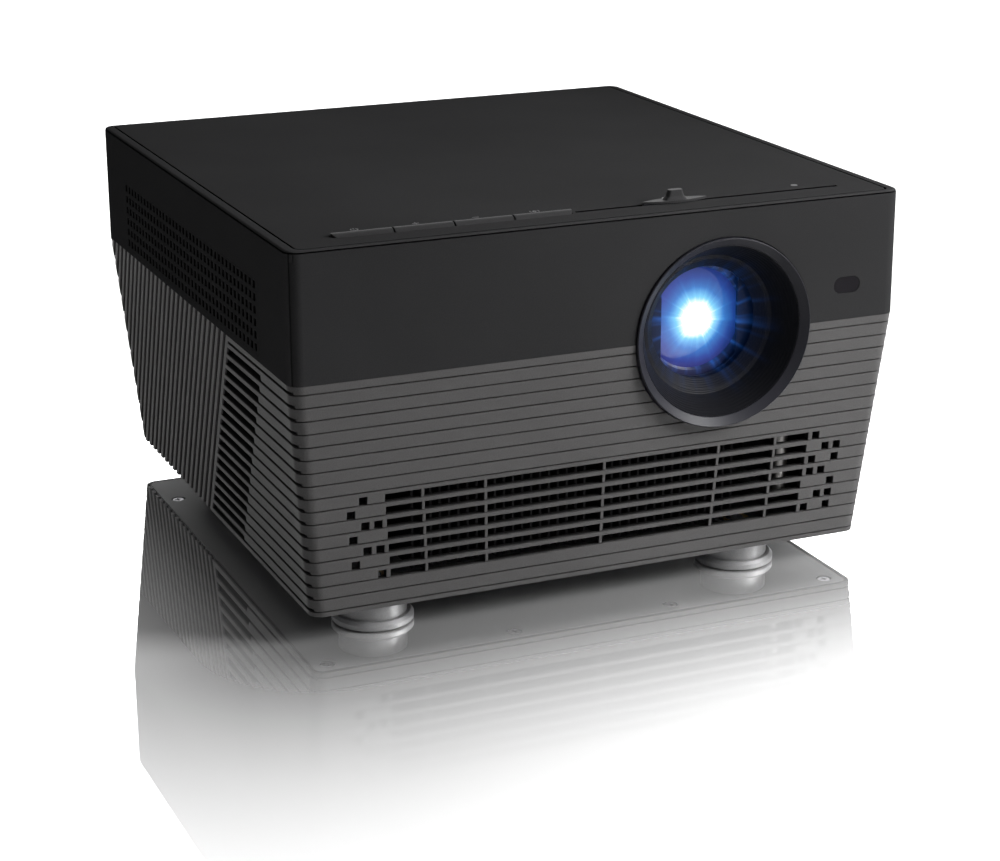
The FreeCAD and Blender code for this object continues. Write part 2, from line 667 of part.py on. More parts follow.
def cover_knob():
    """Boat-shaped slider base with a flared thumb tab."""
    half_l, half_w = 11.65, 2.5
    radius = (half_l ** 2 + half_w ** 2) / (2 * half_w)
    z0, z1 = TOP_Z + 0.2, TOP_Z + 1.0
    base = rod(radius, (KNOB_X, KEY_Y + radius - half_w, z0), (0, 0, 1), z1 - z0)
    base = base.common(rod(radius, (KNOB_X, KEY_Y - radius + half_w, z0), (0, 0, 1), z1 - z0))
    sections = [(4.2, 1.7, z1 - 0.2), (3.0, 1.4, z1 + 1.2), (2.4, 1.2, TOP_Z + 4.2)]
    wires = [rounded_wire(x, y, 1.0, z, KNOB_X, KEY_Y) for x, y, z in sections]
    return fuse(base, Part.makeLoft(wires, True, True))


# --- Lens and its surround ------------------------------------------------------

HOOD_FRONT_Y = -105.5
HOOD_BACK_Y = -92.3
APERTURE_FRONT_Y = -89.9
APERTURE_T = 1.2
APERTURE_R = 19.2
APERTURE_HALF_W = 14.2


def lens_ring():
    """Bevelled trim ring with a flange behind the casing."""
    profile = [(RING_R, -107.7), (RING_R - 0.3, RING_FRONT_Y), (28.7, -105.6), (29.35, HOOD_FRONT_Y),
               (29.35, -100.2), (34.0, -100.2), (34.0, -101.4), (RING_R, -101.4)]
    return turned(profile)


def lens_hood():
    """Stepped black funnel from the ring back to the cover leaf."""
    profile = [(28.5, HOOD_FRONT_Y), (23.6, -96.2), (22.2, -95.8), (19.0, HOOD_BACK_Y),
               (20.6, HOOD_BACK_Y), (23.9, -95.2), (25.3, -96.0), (29.3, -103.6), (29.3, HOOD_FRONT_Y)]
    return turned(profile)


def aperture_plate():
    """Plate behind the leaf with a round opening cut straight at both sides, and the leaf's guides."""
    z0, z1 = LENS_Z - LEAF_HALF_H - 2.5, LENS_Z + LEAF_HALF_H + 2.5
    x0, x1 = LEAF_X[0] - 1.7, LEAF_X[1] + COVER_TRAVEL + 1.7
    back = APERTURE_FRONT_Y + APERTURE_T
    plate = box(x0, x1, APERTURE_FRONT_Y, back, z0, z1)
    opening = rod(APERTURE_R, (LENS_X, APERTURE_FRONT_Y - 1, LENS_Z), (0, 1, 0), 5)
    flats = box(LENS_X - APERTURE_HALF_W, LENS_X + APERTURE_HALF_W, APERTURE_FRONT_Y - 1, back + 1, z0, z1)
    plate = plate.cut(opening.common(flats))
    lip_front, lip_back = LEAF_FRONT_Y - 1.1, LEAF_FRONT_Y - FIT
    rails = [
        box(x0, x1, lip_front, lip_back, z1 - 4.5, z1),
        box(x0, x1, lip_front, lip_back, z0, z0 + 4.5),
        box(x0, x1, lip_front, APERTURE_FRONT_Y + 0.1, z0, z0 + 1.8),
    ]
    posts = [box(x0, x0 + 1.2, lip_front, APERTURE_FRONT_Y + 0.1, z0, z1),
             box(x1 - 1.2, x1, lip_front, APERTURE_FRONT_Y + 0.1, z0, z1)]
    collar = turned([(BARREL_R - 0.7, back - 0.1), (BARREL_R, back - 0.1), (BARREL_R, BARREL_FRONT_Y),
                     (BARREL_R - 0.7, BARREL_FRONT_Y)])
    return fuse(plate, collar, *rails, *posts)


BARREL_R = 21.5
BARREL_FRONT_Y = -85.6
BARREL_BACK_Y = -38.0
GLASS_R = 18.0


def lens_barrel():
    """Barrel with a shoulder behind the focus ring and an ear that carries the focus motor."""
    profile = [(GLASS_R + 0.05, BARREL_FRONT_Y), (BARREL_R, BARREL_FRONT_Y), (BARREL_R, -61.4), (24.0, -61.4),
               (24.0, -60.2), (BARREL_R, -60.2), (BARREL_R, -41.0), (26.0, -41.0), (26.0, BARREL_BACK_Y),
               (12.2, BARREL_BACK_Y), (12.2, -56.0), (15.0, -60.0), (15.0, -79.6), (GLASS_R + 0.05, -79.6)]
    ear = box(PINION_X - 8, LENS_X - BARREL_R + 1, -61.4, -60.2, LENS_Z - 8, LENS_Z + 8)
    return fuse(turned(profile), ear).cut(rod(3.05, (PINION_X, -62, LENS_Z), (0, 1, 0), 3))


def lens_retainer():
    """Threaded ring that holds the front lens."""
    front = BARREL_FRONT_Y - 1.4
    profile = [(17.2, BARREL_FRONT_Y - 0.35), (17.9, front), (20.6, front), (20.6, BARREL_FRONT_Y),
               (GLASS_R + 0.05, BARREL_FRONT_Y)]
    return turned(profile)


def dome_lens(radius, rim_front_y, rim_back_y, sag_front, sag_back):
    """A lens: two spherical faces with an upright rim."""
    def bulge(sag, y):
        mid = radius / 2
        sphere = (radius ** 2 + sag ** 2) / (2 * abs(sag))
        height = math.sqrt(sphere ** 2 - mid ** 2) - (sphere - abs(sag))
        return y + math.copysign(height, sag)

    def at(r, y):
        return Vector(LENS_X + r, y, LENS_Z)

    rim_front, rim_back = at(radius, rim_front_y), at(radius, rim_back_y)
    top_front, top_back = at(0, rim_front_y + sag_front), at(0, rim_back_y + sag_back)
    edges = [
        Part.Arc(top_front, at(radius / 2, bulge(sag_front, rim_front_y)), rim_front).toShape(),
        Part.LineSegment(rim_front, rim_back).toShape(),
        Part.Arc(rim_back, at(radius / 2, bulge(sag_back, rim_back_y)), top_back).toShape(),
        Part.LineSegment(top_back, top_front).toShape(),
    ]
    return Part.Face(Part.Wire(edges)).revolve(Vector(LENS_X, 0, LENS_Z), Vector(0, 1, 0), 360)


def front_lens():
    return dome_lens(GLASS_R, BARREL_FRONT_Y, -79.6, -2.4, -1.0)


def rear_lens():
    return dome_lens(12.1, -52.0, -48.5, -1.6, 1.6)


FOCUS_MODULE = 0.8
FOCUS_TEETH = 62
PINION_TEETH = 14
FOCUS_Y = (-72.0, -62.0)
PINION_X = LENS_X - FOCUS_MODULE * (FOCUS_TEETH + PINION_TEETH) / 2


def gear(teeth, x, z, y0, y1, turn):
    """A spur gear about an axis along Y, with involute flanks of three points each."""
    pitch_r = FOCUS_MODULE * teeth / 2
    base_r = pitch_r * math.cos(math.radians(20))
    root_r, tip_r = pitch_r - 1.1 * FOCUS_MODULE, pitch_r + 0.8 * FOCUS_MODULE

    def involute(radius):
        angle = math.acos(min(1.0, base_r / radius))
        return math.tan(angle) - angle

    backlash = 0.12 * FOCUS_MODULE / pitch_r
    radii = (root_r, pitch_r, tip_r)
    halves = [math.pi / (2 * teeth) + involute(pitch_r) - involute(r) - backlash for r in radii]
    points = []
    for tooth in range(teeth):
        middle = 2 * math.pi * tooth / teeth + turn
        flank = [(r, middle - half) for r, half in zip(radii, halves)]
        flank += [(r, middle + half) for r, half in reversed(list(zip(radii, halves)))]
        points += [(x + r * math.cos(a), y0, z + r * math.sin(a)) for r, a in flank]
    return outline_solid(points, (0, y1 - y0, 0))


def focus_ring():
    toothed = gear(FOCUS_TEETH, LENS_X, LENS_Z, FOCUS_Y[0] + 3, FOCUS_Y[1] - 0.6, 0.0)
    sleeve = rod(23.2, (LENS_X, FOCUS_Y[0], LENS_Z), (0, 1, 0), FOCUS_Y[1] - FOCUS_Y[0])
    bore = rod(BARREL_R + 0.05, (LENS_X, FOCUS_Y[0] - 1, LENS_Z), (0, 1, 0), 20)
    return fuse(toothed, sleeve).cut(bore)


def focus_pinion():
    toothed = gear(PINION_TEETH, PINION_X, LENS_Z, FOCUS_Y[0] + 2.5, FOCUS_Y[1], math.pi / PINION_TEETH)
    return fuse(toothed, rod(1.0, (PINION_X, FOCUS_Y[0] + 2, LENS_Z), (0, 1, 0), 14.0))


def focus_motor():
    body = rod(8.0, (PINION_X, -60.2, LENS_Z), (0, 1, 0), 18.4)
    nose = rod(3.0, (PINION_X, -61.4, LENS_Z), (0, 1, 0), 2.0)
    return fuse(body, nose).cut(rod(1.05, (PINION_X, -62.0, LENS_Z), (0, 1, 0), 8.0))


# --- Light engine ---------------------------------------------------------------

ENGINE = (6.0, 77.0, BARREL_BACK_Y, 34.0, 62.0, 110.0)


def optical_engine():
    """Cast housing with a light tunnel through to the barrel, and its four feet."""
    x0, x1, y0, y1, z0, z1 = ENGINE
    casting = box(*ENGINE)
    upright = [edge for edge in casting.Edges if abs(edge.Vertexes[0].Z - edge.Vertexes[-1].Z) > 1]
    casting = casting.makeFillet(4.0, upright)
    casting = casting.cut(rod(12.2, (LENS_X, y0 - 1, LENS_Z), (0, 1, 0), 30))
    legs = [rod(3.5, (x, y, 30.0), (0, 0, 1), z0 - 30.0) for x in (x0 + 8, x1 - 8) for y in (y0 + 8, y1 - 8)]
    return fuse(casting, *legs)


def engine_bracket():
    """Sheet tray that carries the light engine, standing on four folded feet."""
    x0, x1, y0, y1, _, _ = ENGINE
    tray = box(x0, x1, y0, y1, 28.0, 30.0)
    feet = [box(x, x + 8, y, y + 2, BASE_Z + 2.4, 28.0) for x in (x0, x1 - 8) for y in (y0, y1 - 2)]
    return fuse(tray, *feet)


def imager_board():
    """Imager chip on its board, on top of the light engine."""
    z1 = ENGINE[5]
    return fuse(box(16, 68, -22, 22, z1 + 2.0, z1 + 3.6), box(32, 52, -8, 8, z1, z1 + 2.1))


LED_PLACES = {
    "blue": (-30.0, -8.0),
    "red": (2.0, 24.0),
}


def side_led(colour):
    """A light module on the left face of the engine: copper block, board and dome."""
    y0, y1 = LED_PLACES[colour]
    x = ENGINE[0]
    block = box(x - 9, x - 4, y0, y1, 72, 100)
    board = box(x - 4, x - 2, y0 + 1, y1 - 1, 74, 98)
    dome = rod(4.0, (x - 2.2, (y0 + y1) / 2, 86), (1, 0, 0), 2.2)
    return fuse(block, board, dome)


def green_led():
    y = ENGINE[3]
    block = box(30, 56, y + 4, y + 10, 74, 100)
    return fuse(block, box(31, 55, y + 2, y + 4.1, 75, 99), rod(4.0, (43, y, 87), (0, 1, 0), 2.1))


SINK_Z = (18.0, 56.0)     # the two finned heat sinks behind the front vent


def fin_stack(x0, x1, y0, y1):
    """Upright fins under a top plate."""
    low, high = SINK_Z
    count = int((x1 - x0) // 3.2)
    step = (x1 - x0 - 0.8) / count
    fins = [box(x0 + step * i, x0 + step * i + 0.8, y0, y1, low, high - 1.9) for i in range(count + 1)]
    return fuse(box(x0, x1, y0, y1, high - 2, high), *fins)


def left_heat_sink():
    return fin_stack(-62.0, 0.0, -92.0, -60.0)


def right_heat_sink():
    return fin_stack(6.0, 55.0, -92.0, -60.0)


def bent_tube(radius, points, bend):
    """A tube along straight runs joined by tangent arcs."""
    path = [Vector(*point) for point in points]
    edges = []
    start = path[0]
    for index in range(1, len(path) - 1):
        before = (path[index - 1] - path[index]).normalize()
        after = (path[index + 1] - path[index]).normalize()
        half = math.acos(max(-1.0, min(1.0, before.dot(after)))) / 2
        reach = bend / math.tan(half)
        enter, leave = path[index] + before * reach, path[index] + after * reach
        middle = path[index] + (before + after).normalize() * (bend / math.sin(half) - bend)
        edges.append(Part.LineSegment(start, enter).toShape())
        edges.append(Part.Arc(enter, middle, leave).toShape())
        start = leave
    edges.append(Part.LineSegment(start, path[-1]).toShape())
    section = Part.Wire(Part.Circle(path[0], path[1] - path[0], radius).toShape())
    return Part.Wire(edges).makePipeShell([section], True, True)


def heat_pipes():
    """Pipes from the light modules to the heat sinks, and a bare one at the vent's right end."""
    top = SINK_Z[1] + 2.5
    pipes = [
        bent_tube(2.5, [(-5.6, -19, 74), (-5.6, -19, top), (-5.6, -84, top)], 7),
        bent_tube(2.5, [(-5.6, 13, 74), (-5.6, 13, top + 6), (-20, 13, top + 6), (-20, -10, top),
                        (-20, -84, top)], 6),
        bent_tube(2.5, [(74.5, -42, 22), (74.5, -90, 22), (74.5, -90, 53), (74.5, -66, 53)], 7),
    ]
    return group(pipes)


# --- Fans -----------------------------------------------------------------------

FAN_HALF = 35.0
FAN_T = 15.0
FAN_Y = -20.0
FAN_Z = 48.5
FAN_X = 79.0              # inner face of each fan, from the middle plane
HUB_R = 15.0
BLADE_R = 32.2
BLADE_COUNT = 7


def fan_frame_shape():
    """A square axial fan frame on its own axis, along +X from the origin."""
    frame = box(0, FAN_T, -FAN_HALF, FAN_HALF, -FAN_HALF, FAN_HALF)
    along = [edge for edge in frame.Edges if abs(edge.Vertexes[0].X - edge.Vertexes[-1].X) > 1]
    frame = frame.makeFillet(4.0, along).cut(rod(BLADE_R + 0.8, (-1, 0, 0), (1, 0, 0), FAN_T + 2))
    for y in (-1, 1):
        for z in (-1, 1):
            frame = frame.cut(rod(2.2, (-1, y * 30, z * 30), (1, 0, 0), FAN_T + 2))
    seat = rod(HUB_R, (0, 0, 0), (1, 0, 0), 2.5)
    struts = []
    for turn in range(4):
        strut = box(0, 2.0, HUB_R - 2, BLADE_R + 3, -1.6, 1.6)
        struts.append(strut.rotate(Vector(0, 0, 0), Vector(1, 0, 0), 45 + 90 * turn))
    return fuse(frame, seat, *struts).cut(rod(1.55, (-1, 0, 0), (1, 0, 0), 5))


def fan_rotor_shape():
    """Hub, shaft and seven pitched blades."""
    hub = rod(HUB_R - 0.2, (3.0, 0, 0), (1, 0, 0), FAN_T - 4)
    shaft = rod(1.5, (0.5, 0, 0), (1, 0, 0), 3)
    keep = rod(BLADE_R, (3.2, 0, 0), (1, 0, 0), FAN_T - 4.4)
    blades = []
    for turn in range(BLADE_COUNT):
        blade = box(-8, 8, HUB_R - 1.5, BLADE_R + 2, -0.7, 0.7).rotate(Vector(0, 0, 0), Vector(0, 1, 0), 50)
        blade.translate(Vector(3 + (FAN_T - 4) / 2, 0, 0))
        blades.append(blade.rotate(Vector(0, 0, 0), Vector(1, 0, 0), 360 / BLADE_COUNT * turn).common(keep))
    return fuse(hub, shaft, *blades)


def place_fan(shape, side):
    """Move a fan part to its side wall."""
    shape.translate(Vector(MIDDLE_X + FAN_X, FAN_Y, FAN_Z))
    return shape if side > 0 else mirrored(shape)


# --- Electronics ------------------------------------------------------------------

MAIN_BOARD = (-22.0, 86.0, 42.0, BAY_FLOOR_Y - 5.4)
POWER_BOARD_Z = 19.0


def main_board():
    """Main board with a few chips under small heat spreaders."""
    x0, x1, y0, y1 = MAIN_BOARD
    top = MAIN_BOARD_Z + BOARD_T
    board = box(x0, x1, y0, y1, MAIN_BOARD_Z, top)
    chips = [box(10, 34, 50, 74, top - 0.1, top + 3), box(44, 58, 50, 62, top - 0.1, top + 1.6),
             box(64, 78, 52, 60, top - 0.1, top + 1.6), box(-16, 0, 52, 64, top - 0.1, top + 2)]
    posts = [rod(3.0, (x, y, BASE_Z + 2.4), (0, 0, 1), MAIN_BOARD_Z - BASE_Z - 2.4)
             for x in (x0 + 4, x1 - 4) for y in (y0 + 4, y1 - 4)]
    return fuse(board, *chips, *posts)


def socket_shell(width, height, depth, tongue):
    """A metal socket shell, open to +Y at the origin, with its contact tongue."""
    half_w, half_h = width / 2, height / 2
    shell = box(-half_w, half_w, -depth, 0, -half_h, half_h)
    shell = shell.cut(box(0.4 - half_w, half_w - 0.4, -depth + 1.0, 1, 0.4 - half_h, half_h - 0.4))
    blade_w, blade_h, blade_z = tongue
    z0, z1 = blade_z - blade_h / 2, blade_z + blade_h / 2
    return fuse(shell, box(-blade_w / 2, blade_w / 2, -depth + 0.5, -1.2, z0, z1))


def hdmi_sockets():
    sockets = []
    for x in HDMI_X:
        socket = socket_shell(15.0, SOCKET_H, 11.0, (11.6, 0.9, 0.4))
        socket.translate(Vector(x, BAY_FLOOR_Y + 0.3, PORT_Z))
        sockets.append(socket)
    return group(sockets)


def usb_sockets():
    sockets = []
    for x in USB_X:
        socket = socket_shell(13.2, SOCKET_H, 13.0, (11.0, 1.8, 1.1))
        socket.translate(Vector(x, BAY_FLOOR_Y + 0.3, PORT_Z))
        sockets.append(socket)
    return group(sockets)


def audio_jack():
    """A 3.5 mm stereo socket."""
    half = SOCKET_H / 2
    front_y, shoulder_y = BAY_FLOOR_Y - 13.4, BAY_FLOOR_Y - 2.6
    body = box(JACK_X - 4, JACK_X + 4, front_y, shoulder_y, PORT_Z - half, PORT_Z + half)
    nose = rod(half, (JACK_X, shoulder_y - 0.3, PORT_Z), (0, 1, 0), 3.4)
    return fuse(body, nose).cut(rod(1.8, (JACK_X, front_y + 2.0, PORT_Z), (0, 1, 0), 20))


INLET_BACK_Y = REAR_Y - 21.0          # floor of the mains socket
INLET_PROUD = 0.8         # its rim stands this far out of the rear face


def power_inlet():
    """A three-pin mains inlet: a shell with a deep six-sided socket."""
    half_w, half_h = INLET_W / 2, INLET_H / 2
    z0, z1 = INLET_Z - half_h, INLET_Z + half_h
    shell = box(INLET_X - half_w, INLET_X + half_w, INLET_BACK_Y - 3, REAR_Y + 2, z0, z1)
    shell = shell.common(skirt_block(-INLET_PROUD))
    socket = box(INLET_X - 12.0, INLET_X + 12.0, INLET_BACK_Y, REAR_Y + 3, INLET_Z - 8.0, INLET_Z + 8.0)
    corners = [edge for edge in socket.Edges if abs(edge.Vertexes[0].Y - edge.Vertexes[-1].Y) > 1
               and edge.Vertexes[0].Z > INLET_Z]
    return shell.cut(socket.makeChamfer(4.0, corners))


def inlet_pins():
    """Line, neutral and earth blades."""
    pins = []
    for dx, dz in ((-7.0, -2.0), (7.0, -2.0), (0.0, 2.0)):
        x, z = INLET_X + dx, INLET_Z + dz
        pins.append(box(x - 1.0, x + 1.0, INLET_BACK_Y, INLET_BACK_Y + 12.0, z - 2.0, z + 2.0))
    return group(pins)


def power_board():
    """Power supply: board on posts, cooling plate, transformer core with its coil, two capacitors."""
    top = POWER_BOARD_Z + BOARD_T
    posts = [rod(3.0, (x, y, BASE_Z + 2.4), (0, 0, 1), POWER_BOARD_Z - BASE_Z - 2.4)
             for x in (-79, -36) for y in (30, 70)]
    board = fuse(box(-84, -30, 24, 86, POWER_BOARD_Z, top), *posts)
    cooler = box(-80, -77, 30, 60, top, 44)
    core = box(-72, -44, 30, 50, top, top + 24).cut(box(-67, -49, 29, 51, top + 5, top + 19))
    coil = rod(8.6, (-58, 40, top + 5), (0, 0, 1), 14)
    capacitors = [rod(7.5, (x, 66, top), (0, 0, 1), 25) for x in (-70, -53)]
    return group([board, cooler, core, coil] + capacitors)


def ir_receiver():
    """Three-legged receiver package on a small board behind the window."""
    board = box(WINDOW_X - 7, WINDOW_X + 7, RECEIVER_Y, RECEIVER_Y + 1.2, WINDOW_Z - 6, WINDOW_Z + 6)
    package = box(WINDOW_X - 3, WINDOW_X + 3, RECEIVER_Y - 2.5, RECEIVER_Y + 0.1, WINDOW_Z - 3, WINDOW_Z + 3)
    return fuse(board, package, rod(2.2, (WINDOW_X, RECEIVER_Y - 4.1, WINDOW_Z), (0, 1, 0), 2))


SPEAKER_Y = (-36.0, 40.0)
SPEAKER_Z = (91.5, 119.5)
SPEAKER_DEPTH = 15.0


def racetrack(radius, x, length):
    """A flat-sided oval along Y, from x outwards."""
    z = sum(SPEAKER_Z) / 2
    y0, y1 = SPEAKER_Y[0] + 20, SPEAKER_Y[1] - 20
    ends = [rod(radius, (x, y, z), (1, 0, 0), length) for y in (y0, y1)]
    return fuse(box(x, x + length, y0, y1, z - radius, z + radius), *ends)


def speaker(side):
    """Shallow speaker box against the side wall, and its oval cone with a dust cap."""
    front = MIDDLE_X + ROOM_HALF_X
    cabinet = box(front - SPEAKER_DEPTH, front, *SPEAKER_Y, *SPEAKER_Z).cut(racetrack(11.0, front - 8, 10))
    cap = rod(7.0, (front - 6, sum(SPEAKER_Y) / 2, sum(SPEAKER_Z) / 2), (1, 0, 0), 2.6)
    cone = fuse(racetrack(11.0, front - 8, 2.4), cap)
    shape = group([cabinet, cone])
    return shape if side > 0 else mirrored(shape)


# --- Every node -----------------------------------------------------------------

def all_nodes():
    nodes = {
        "upper_housing": upper_housing(),
        "front_bezel": front_bezel(),
        "top_panel": top_panel(),
        "speaker_grille_left": speaker_grille(-1),
        "speaker_grille_right": speaker_grille(1),
        "front_grille": front_grille(),
        "side_grille_left": side_grille(-1),
        "side_grille_right": side_grille(1),
        "rear_panel": rear_panel(),
        "base_plate": base_plate(),
        "case_screws": case_screws(),
        "foot_front_left": front_foot(*FRONT_FEET[0]),
        "foot_front_right": front_foot(*FRONT_FEET[1]),
        "pad_front_left": foot_pad(*FRONT_FEET[0]),
        "pad_front_right": foot_pad(*FRONT_FEET[1]),
        "rear_feet": rear_feet(),
        "rear_pads": rear_pads(),
        "foot_inserts": foot_inserts(),
        "power_key": key_cap(0),
        "volume_up_key": key_cap(1),
        "volume_down_key": key_cap(2),
        "focus_key": key_cap(3),
        "keypad_board": keypad_board(),
        "tact_switches": tact_switches(),
        "lens_cover": lens_cover(),
        "cover_knob": cover_knob(),
        "lens_ring": lens_ring(),
        "lens_hood": lens_hood(),
        "aperture_plate": aperture_plate(),
        "lens_barrel": lens_barrel(),
        "lens_retainer": lens_retainer(),
        "front_lens": front_lens(),
        "rear_lens": rear_lens(),
        "focus_ring": focus_ring(),
        "focus_pinion": focus_pinion(),
        "focus_motor": focus_motor(),
        "optical_engine": optical_engine(),
        "engine_bracket": engine_bracket(),
        "imager_board": imager_board(),
        "blue_led": side_led("blue"),
        "red_led": side_led("red"),
        "green_led": green_led(),
        "left_heat_sink": left_heat_sink(),
        "right_heat_sink": right_heat_sink(),
        "heat_pipes": heat_pipes(),
        "intake_fan_frame": place_fan(fan_frame_shape(), -1),
        "intake_fan_rotor": place_fan(fan_rotor_shape(), -1),
        "exhaust_fan_frame": place_fan(fan_frame_shape(), 1),
        "exhaust_fan_rotor": place_fan(fan_rotor_shape(), 1),
        "main_board": main_board(),
        "hdmi_sockets": hdmi_sockets(),
        "usb_sockets": usb_sockets(),
        "audio_jack": audio_jack(),
        "power_inlet": power_inlet(),
        "inlet_pins": inlet_pins(),
        "power_board": power_board(),
        "ir_window": ir_window(),
        "ir_receiver": ir_receiver(),
        "speaker_left": speaker(-1),
        "speaker_right": speaker(1),
    }
    return nodes


def main():
    """Write every node, moved so that the middle of the overall depth lies over the origin."""
    os.makedirs("parts", exist_ok=True)
    to_origin = Vector(-MIDDLE_X, -(RING_FRONT_Y + REAR_Y) / 2, 0)
    for name, shape in all_nodes().items():
        shape.translate(to_origin)
        state = "ok" if shape.isValid() else "INVALID"
        print(f"{name:22s} solids {len(shape.Solids)} volume {shape.Volume:10.1f} {state}")
        shape.exportStep(f"parts/{name}.step")


main()
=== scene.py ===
"""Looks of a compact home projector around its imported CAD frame.

Metres, +Z up, the lens faces -Y. The CAD sub-parts keep their shapes and get procedural materials;
the printed marks, the speaker cloth and the screens behind the side slots are made here.
"""

import math

import bmesh
import bpy
from mathutils import Matrix, Vector


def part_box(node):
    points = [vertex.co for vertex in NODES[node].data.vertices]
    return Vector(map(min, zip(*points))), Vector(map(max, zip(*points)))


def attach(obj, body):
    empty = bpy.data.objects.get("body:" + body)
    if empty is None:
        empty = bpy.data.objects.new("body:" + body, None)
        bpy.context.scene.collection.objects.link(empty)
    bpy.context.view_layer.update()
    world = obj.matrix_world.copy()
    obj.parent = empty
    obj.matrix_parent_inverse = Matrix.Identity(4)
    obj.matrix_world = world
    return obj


MM = 0.001

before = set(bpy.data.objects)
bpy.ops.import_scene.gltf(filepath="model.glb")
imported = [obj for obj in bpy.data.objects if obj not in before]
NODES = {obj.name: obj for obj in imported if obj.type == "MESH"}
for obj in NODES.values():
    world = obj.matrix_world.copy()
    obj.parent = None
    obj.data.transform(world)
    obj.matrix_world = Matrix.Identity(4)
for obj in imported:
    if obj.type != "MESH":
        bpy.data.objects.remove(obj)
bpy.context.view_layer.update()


# --- Places taken from the frame --------------------------------------------------

def middle(node):
    low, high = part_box(node)
    return (low + high) / 2


LENS_CENTRE = middle("lens_retainer")
LID_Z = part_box("top_panel")[1].z
KEYS = ("power_key", "volume_up_key", "volume_down_key", "focus_key")


# --- Node graphs ------------------------------------------------------------------

class Graph:
    """A material's node tree with short ways to add and join nodes."""

    def __init__(self, name):
        self.material = bpy.data.materials.new(name)
        self.material.use_nodes = True
        self.nodes = self.material.node_tree.nodes
        self.links = self.material.node_tree.links
        self.shader = self.nodes["Principled BSDF"]

    def add(self, kind, **settings):
        node = self.nodes.new("ShaderNode" + kind)
        for key, value in settings.items():
            setattr(node, key, value)
        return node

    def join(self, source, target):
        if isinstance(source, (int, float)):
            target.default_value = source
        else:
            self.links.new(source, target)

    def point(self):
        """Position in the row frame, because every object sits at the origin."""
        return self.add("TexCoord").outputs["Object"]

    def axes(self):
        """The X, Y and Z of the position, by name."""
        split = self.add("SeparateXYZ")
        self.join(self.point(), split.inputs[0])
        return split.outputs

    def scaled(self, factors):
        mapping = self.add("Mapping")
        mapping.inputs["Scale"].default_value = factors
        self.join(self.point(), mapping.inputs["Vector"])
        return mapping.outputs["Vector"]

    def math(self, operation, first, second=0.0):
        node = self.add("Math", operation=operation)
        self.join(first, node.inputs[0])
        self.join(second, node.inputs[1])
        return node.outputs[0]

    def noise(self, scale, detail=2.0, vector=None):
        node = self.add("TexNoise")
        node.inputs["Scale"].default_value = scale
        node.inputs["Detail"].default_value = detail
        self.join(vector or self.point(), node.inputs["Vector"])
        return node.outputs["Fac"]

    def remap(self, value, low, high, to_low, to_high):
        node = self.add("MapRange")
        self.join(value, node.inputs["Value"])
        for key, number in (("From Min", low), ("From Max", high), ("To Min", to_low), ("To Max", to_high)):
            node.inputs[key].default_value = number
        return node.outputs["Result"]

    def mix(self, factor, first, second):
        """Colour mix; first and second are RGB triples or sockets."""
        node = self.add("Mix", data_type="RGBA")
        self.join(factor, node.inputs["Factor"])
        for value, socket in ((first, node.inputs["A"]), (second, node.inputs["B"])):
            if isinstance(value, tuple):
                socket.default_value = (*value, 1.0)
            else:
                self.links.new(value, socket)
        return node.outputs["Result"]

    def ramp(self, value, stops):
        """stops is a list of (position, RGB)."""
        node = self.add("ValToRGB")
        self.join(value, node.inputs["Fac"])
        elements = node.color_ramp.elements
        while len(elements) < len(stops):
            elements.new(0.5)
        for element, (place, colour) in zip(elements, stops):
            element.position = place
            element.color = (*colour, 1.0)
        return node.outputs["Color"]

    def bump(self, height, distance, strength=1.0, under=None):
        node = self.add("Bump")
        node.inputs["Strength"].default_value = strength
        node.inputs["Distance"].default_value = distance
        self.join(height, node.inputs["Height"])
        if under is not None:
            self.join(under, node.inputs["Normal"])
        return node.outputs["Normal"]

    def soft_edges(self, radius):
        node = self.add("Bevel", samples=4)
        node.inputs["Radius"].default_value = radius
        return node.outputs["Normal"]

    def surface(self, roughness=None, metallic=0.0, specular=0.5, coat=0.0, coat_roughness=0.1):
        inputs = self.shader.inputs
        inputs["Metallic"].default_value = metallic
        inputs["Specular IOR Level"].default_value = specular
        inputs["Coat Weight"].default_value = coat
        inputs["Coat Roughness"].default_value = coat_roughness
        if roughness is not None:
            self.join(roughness, inputs["Roughness"])


def darker(colour, factor):
    return tuple(channel * factor for channel in colour)


SKIRT_TOP_Z = 88.5 * MM     # where the lower casing starts to narrow
SKIRT_HEIGHT = 78.9 * MM
TAPER_SIDE = 7.2 * MM       # each side leans in this much over the skirt's height
TAPER_END = 7.0 * MM
CORNER_R = 4.4 * MM


def outline_depth(graph):
    """How far a point lies inside the casing's tapered outline with round corners."""
    low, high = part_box("upper_housing")
    axes = graph.axes()
    lean = graph.remap(axes["Z"], SKIRT_TOP_Z - SKIRT_HEIGHT, SKIRT_TOP_Z, 1.0, 0.0)
    over = []
    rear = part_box("rear_panel")[1].y
    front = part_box("front_grille")[0].y
    for axis, first, last, taper in (("X", low.x, high.x, TAPER_SIDE), ("Y", front, rear, TAPER_END)):
        reach = graph.math("ABSOLUTE", graph.math("SUBTRACT", axes[axis], (first + last) / 2))
        set_back = graph.math("MULTIPLY", lean, taper)
        straight = graph.math("SUBTRACT", (last - first) / 2 - CORNER_R, set_back)
        over.append(graph.math("SUBTRACT", reach, straight))
    corner = [graph.math("MAXIMUM", value, 0.0) for value in over]
    squares = [graph.math("MULTIPLY", value, value) for value in corner]
    outside = graph.math("SQRT", graph.math("ADD", *squares))
    inside = graph.math("MINIMUM", graph.math("MAXIMUM", *over), 0.0)
    return graph.math("SUBTRACT", CORNER_R, graph.math("ADD", outside, inside))


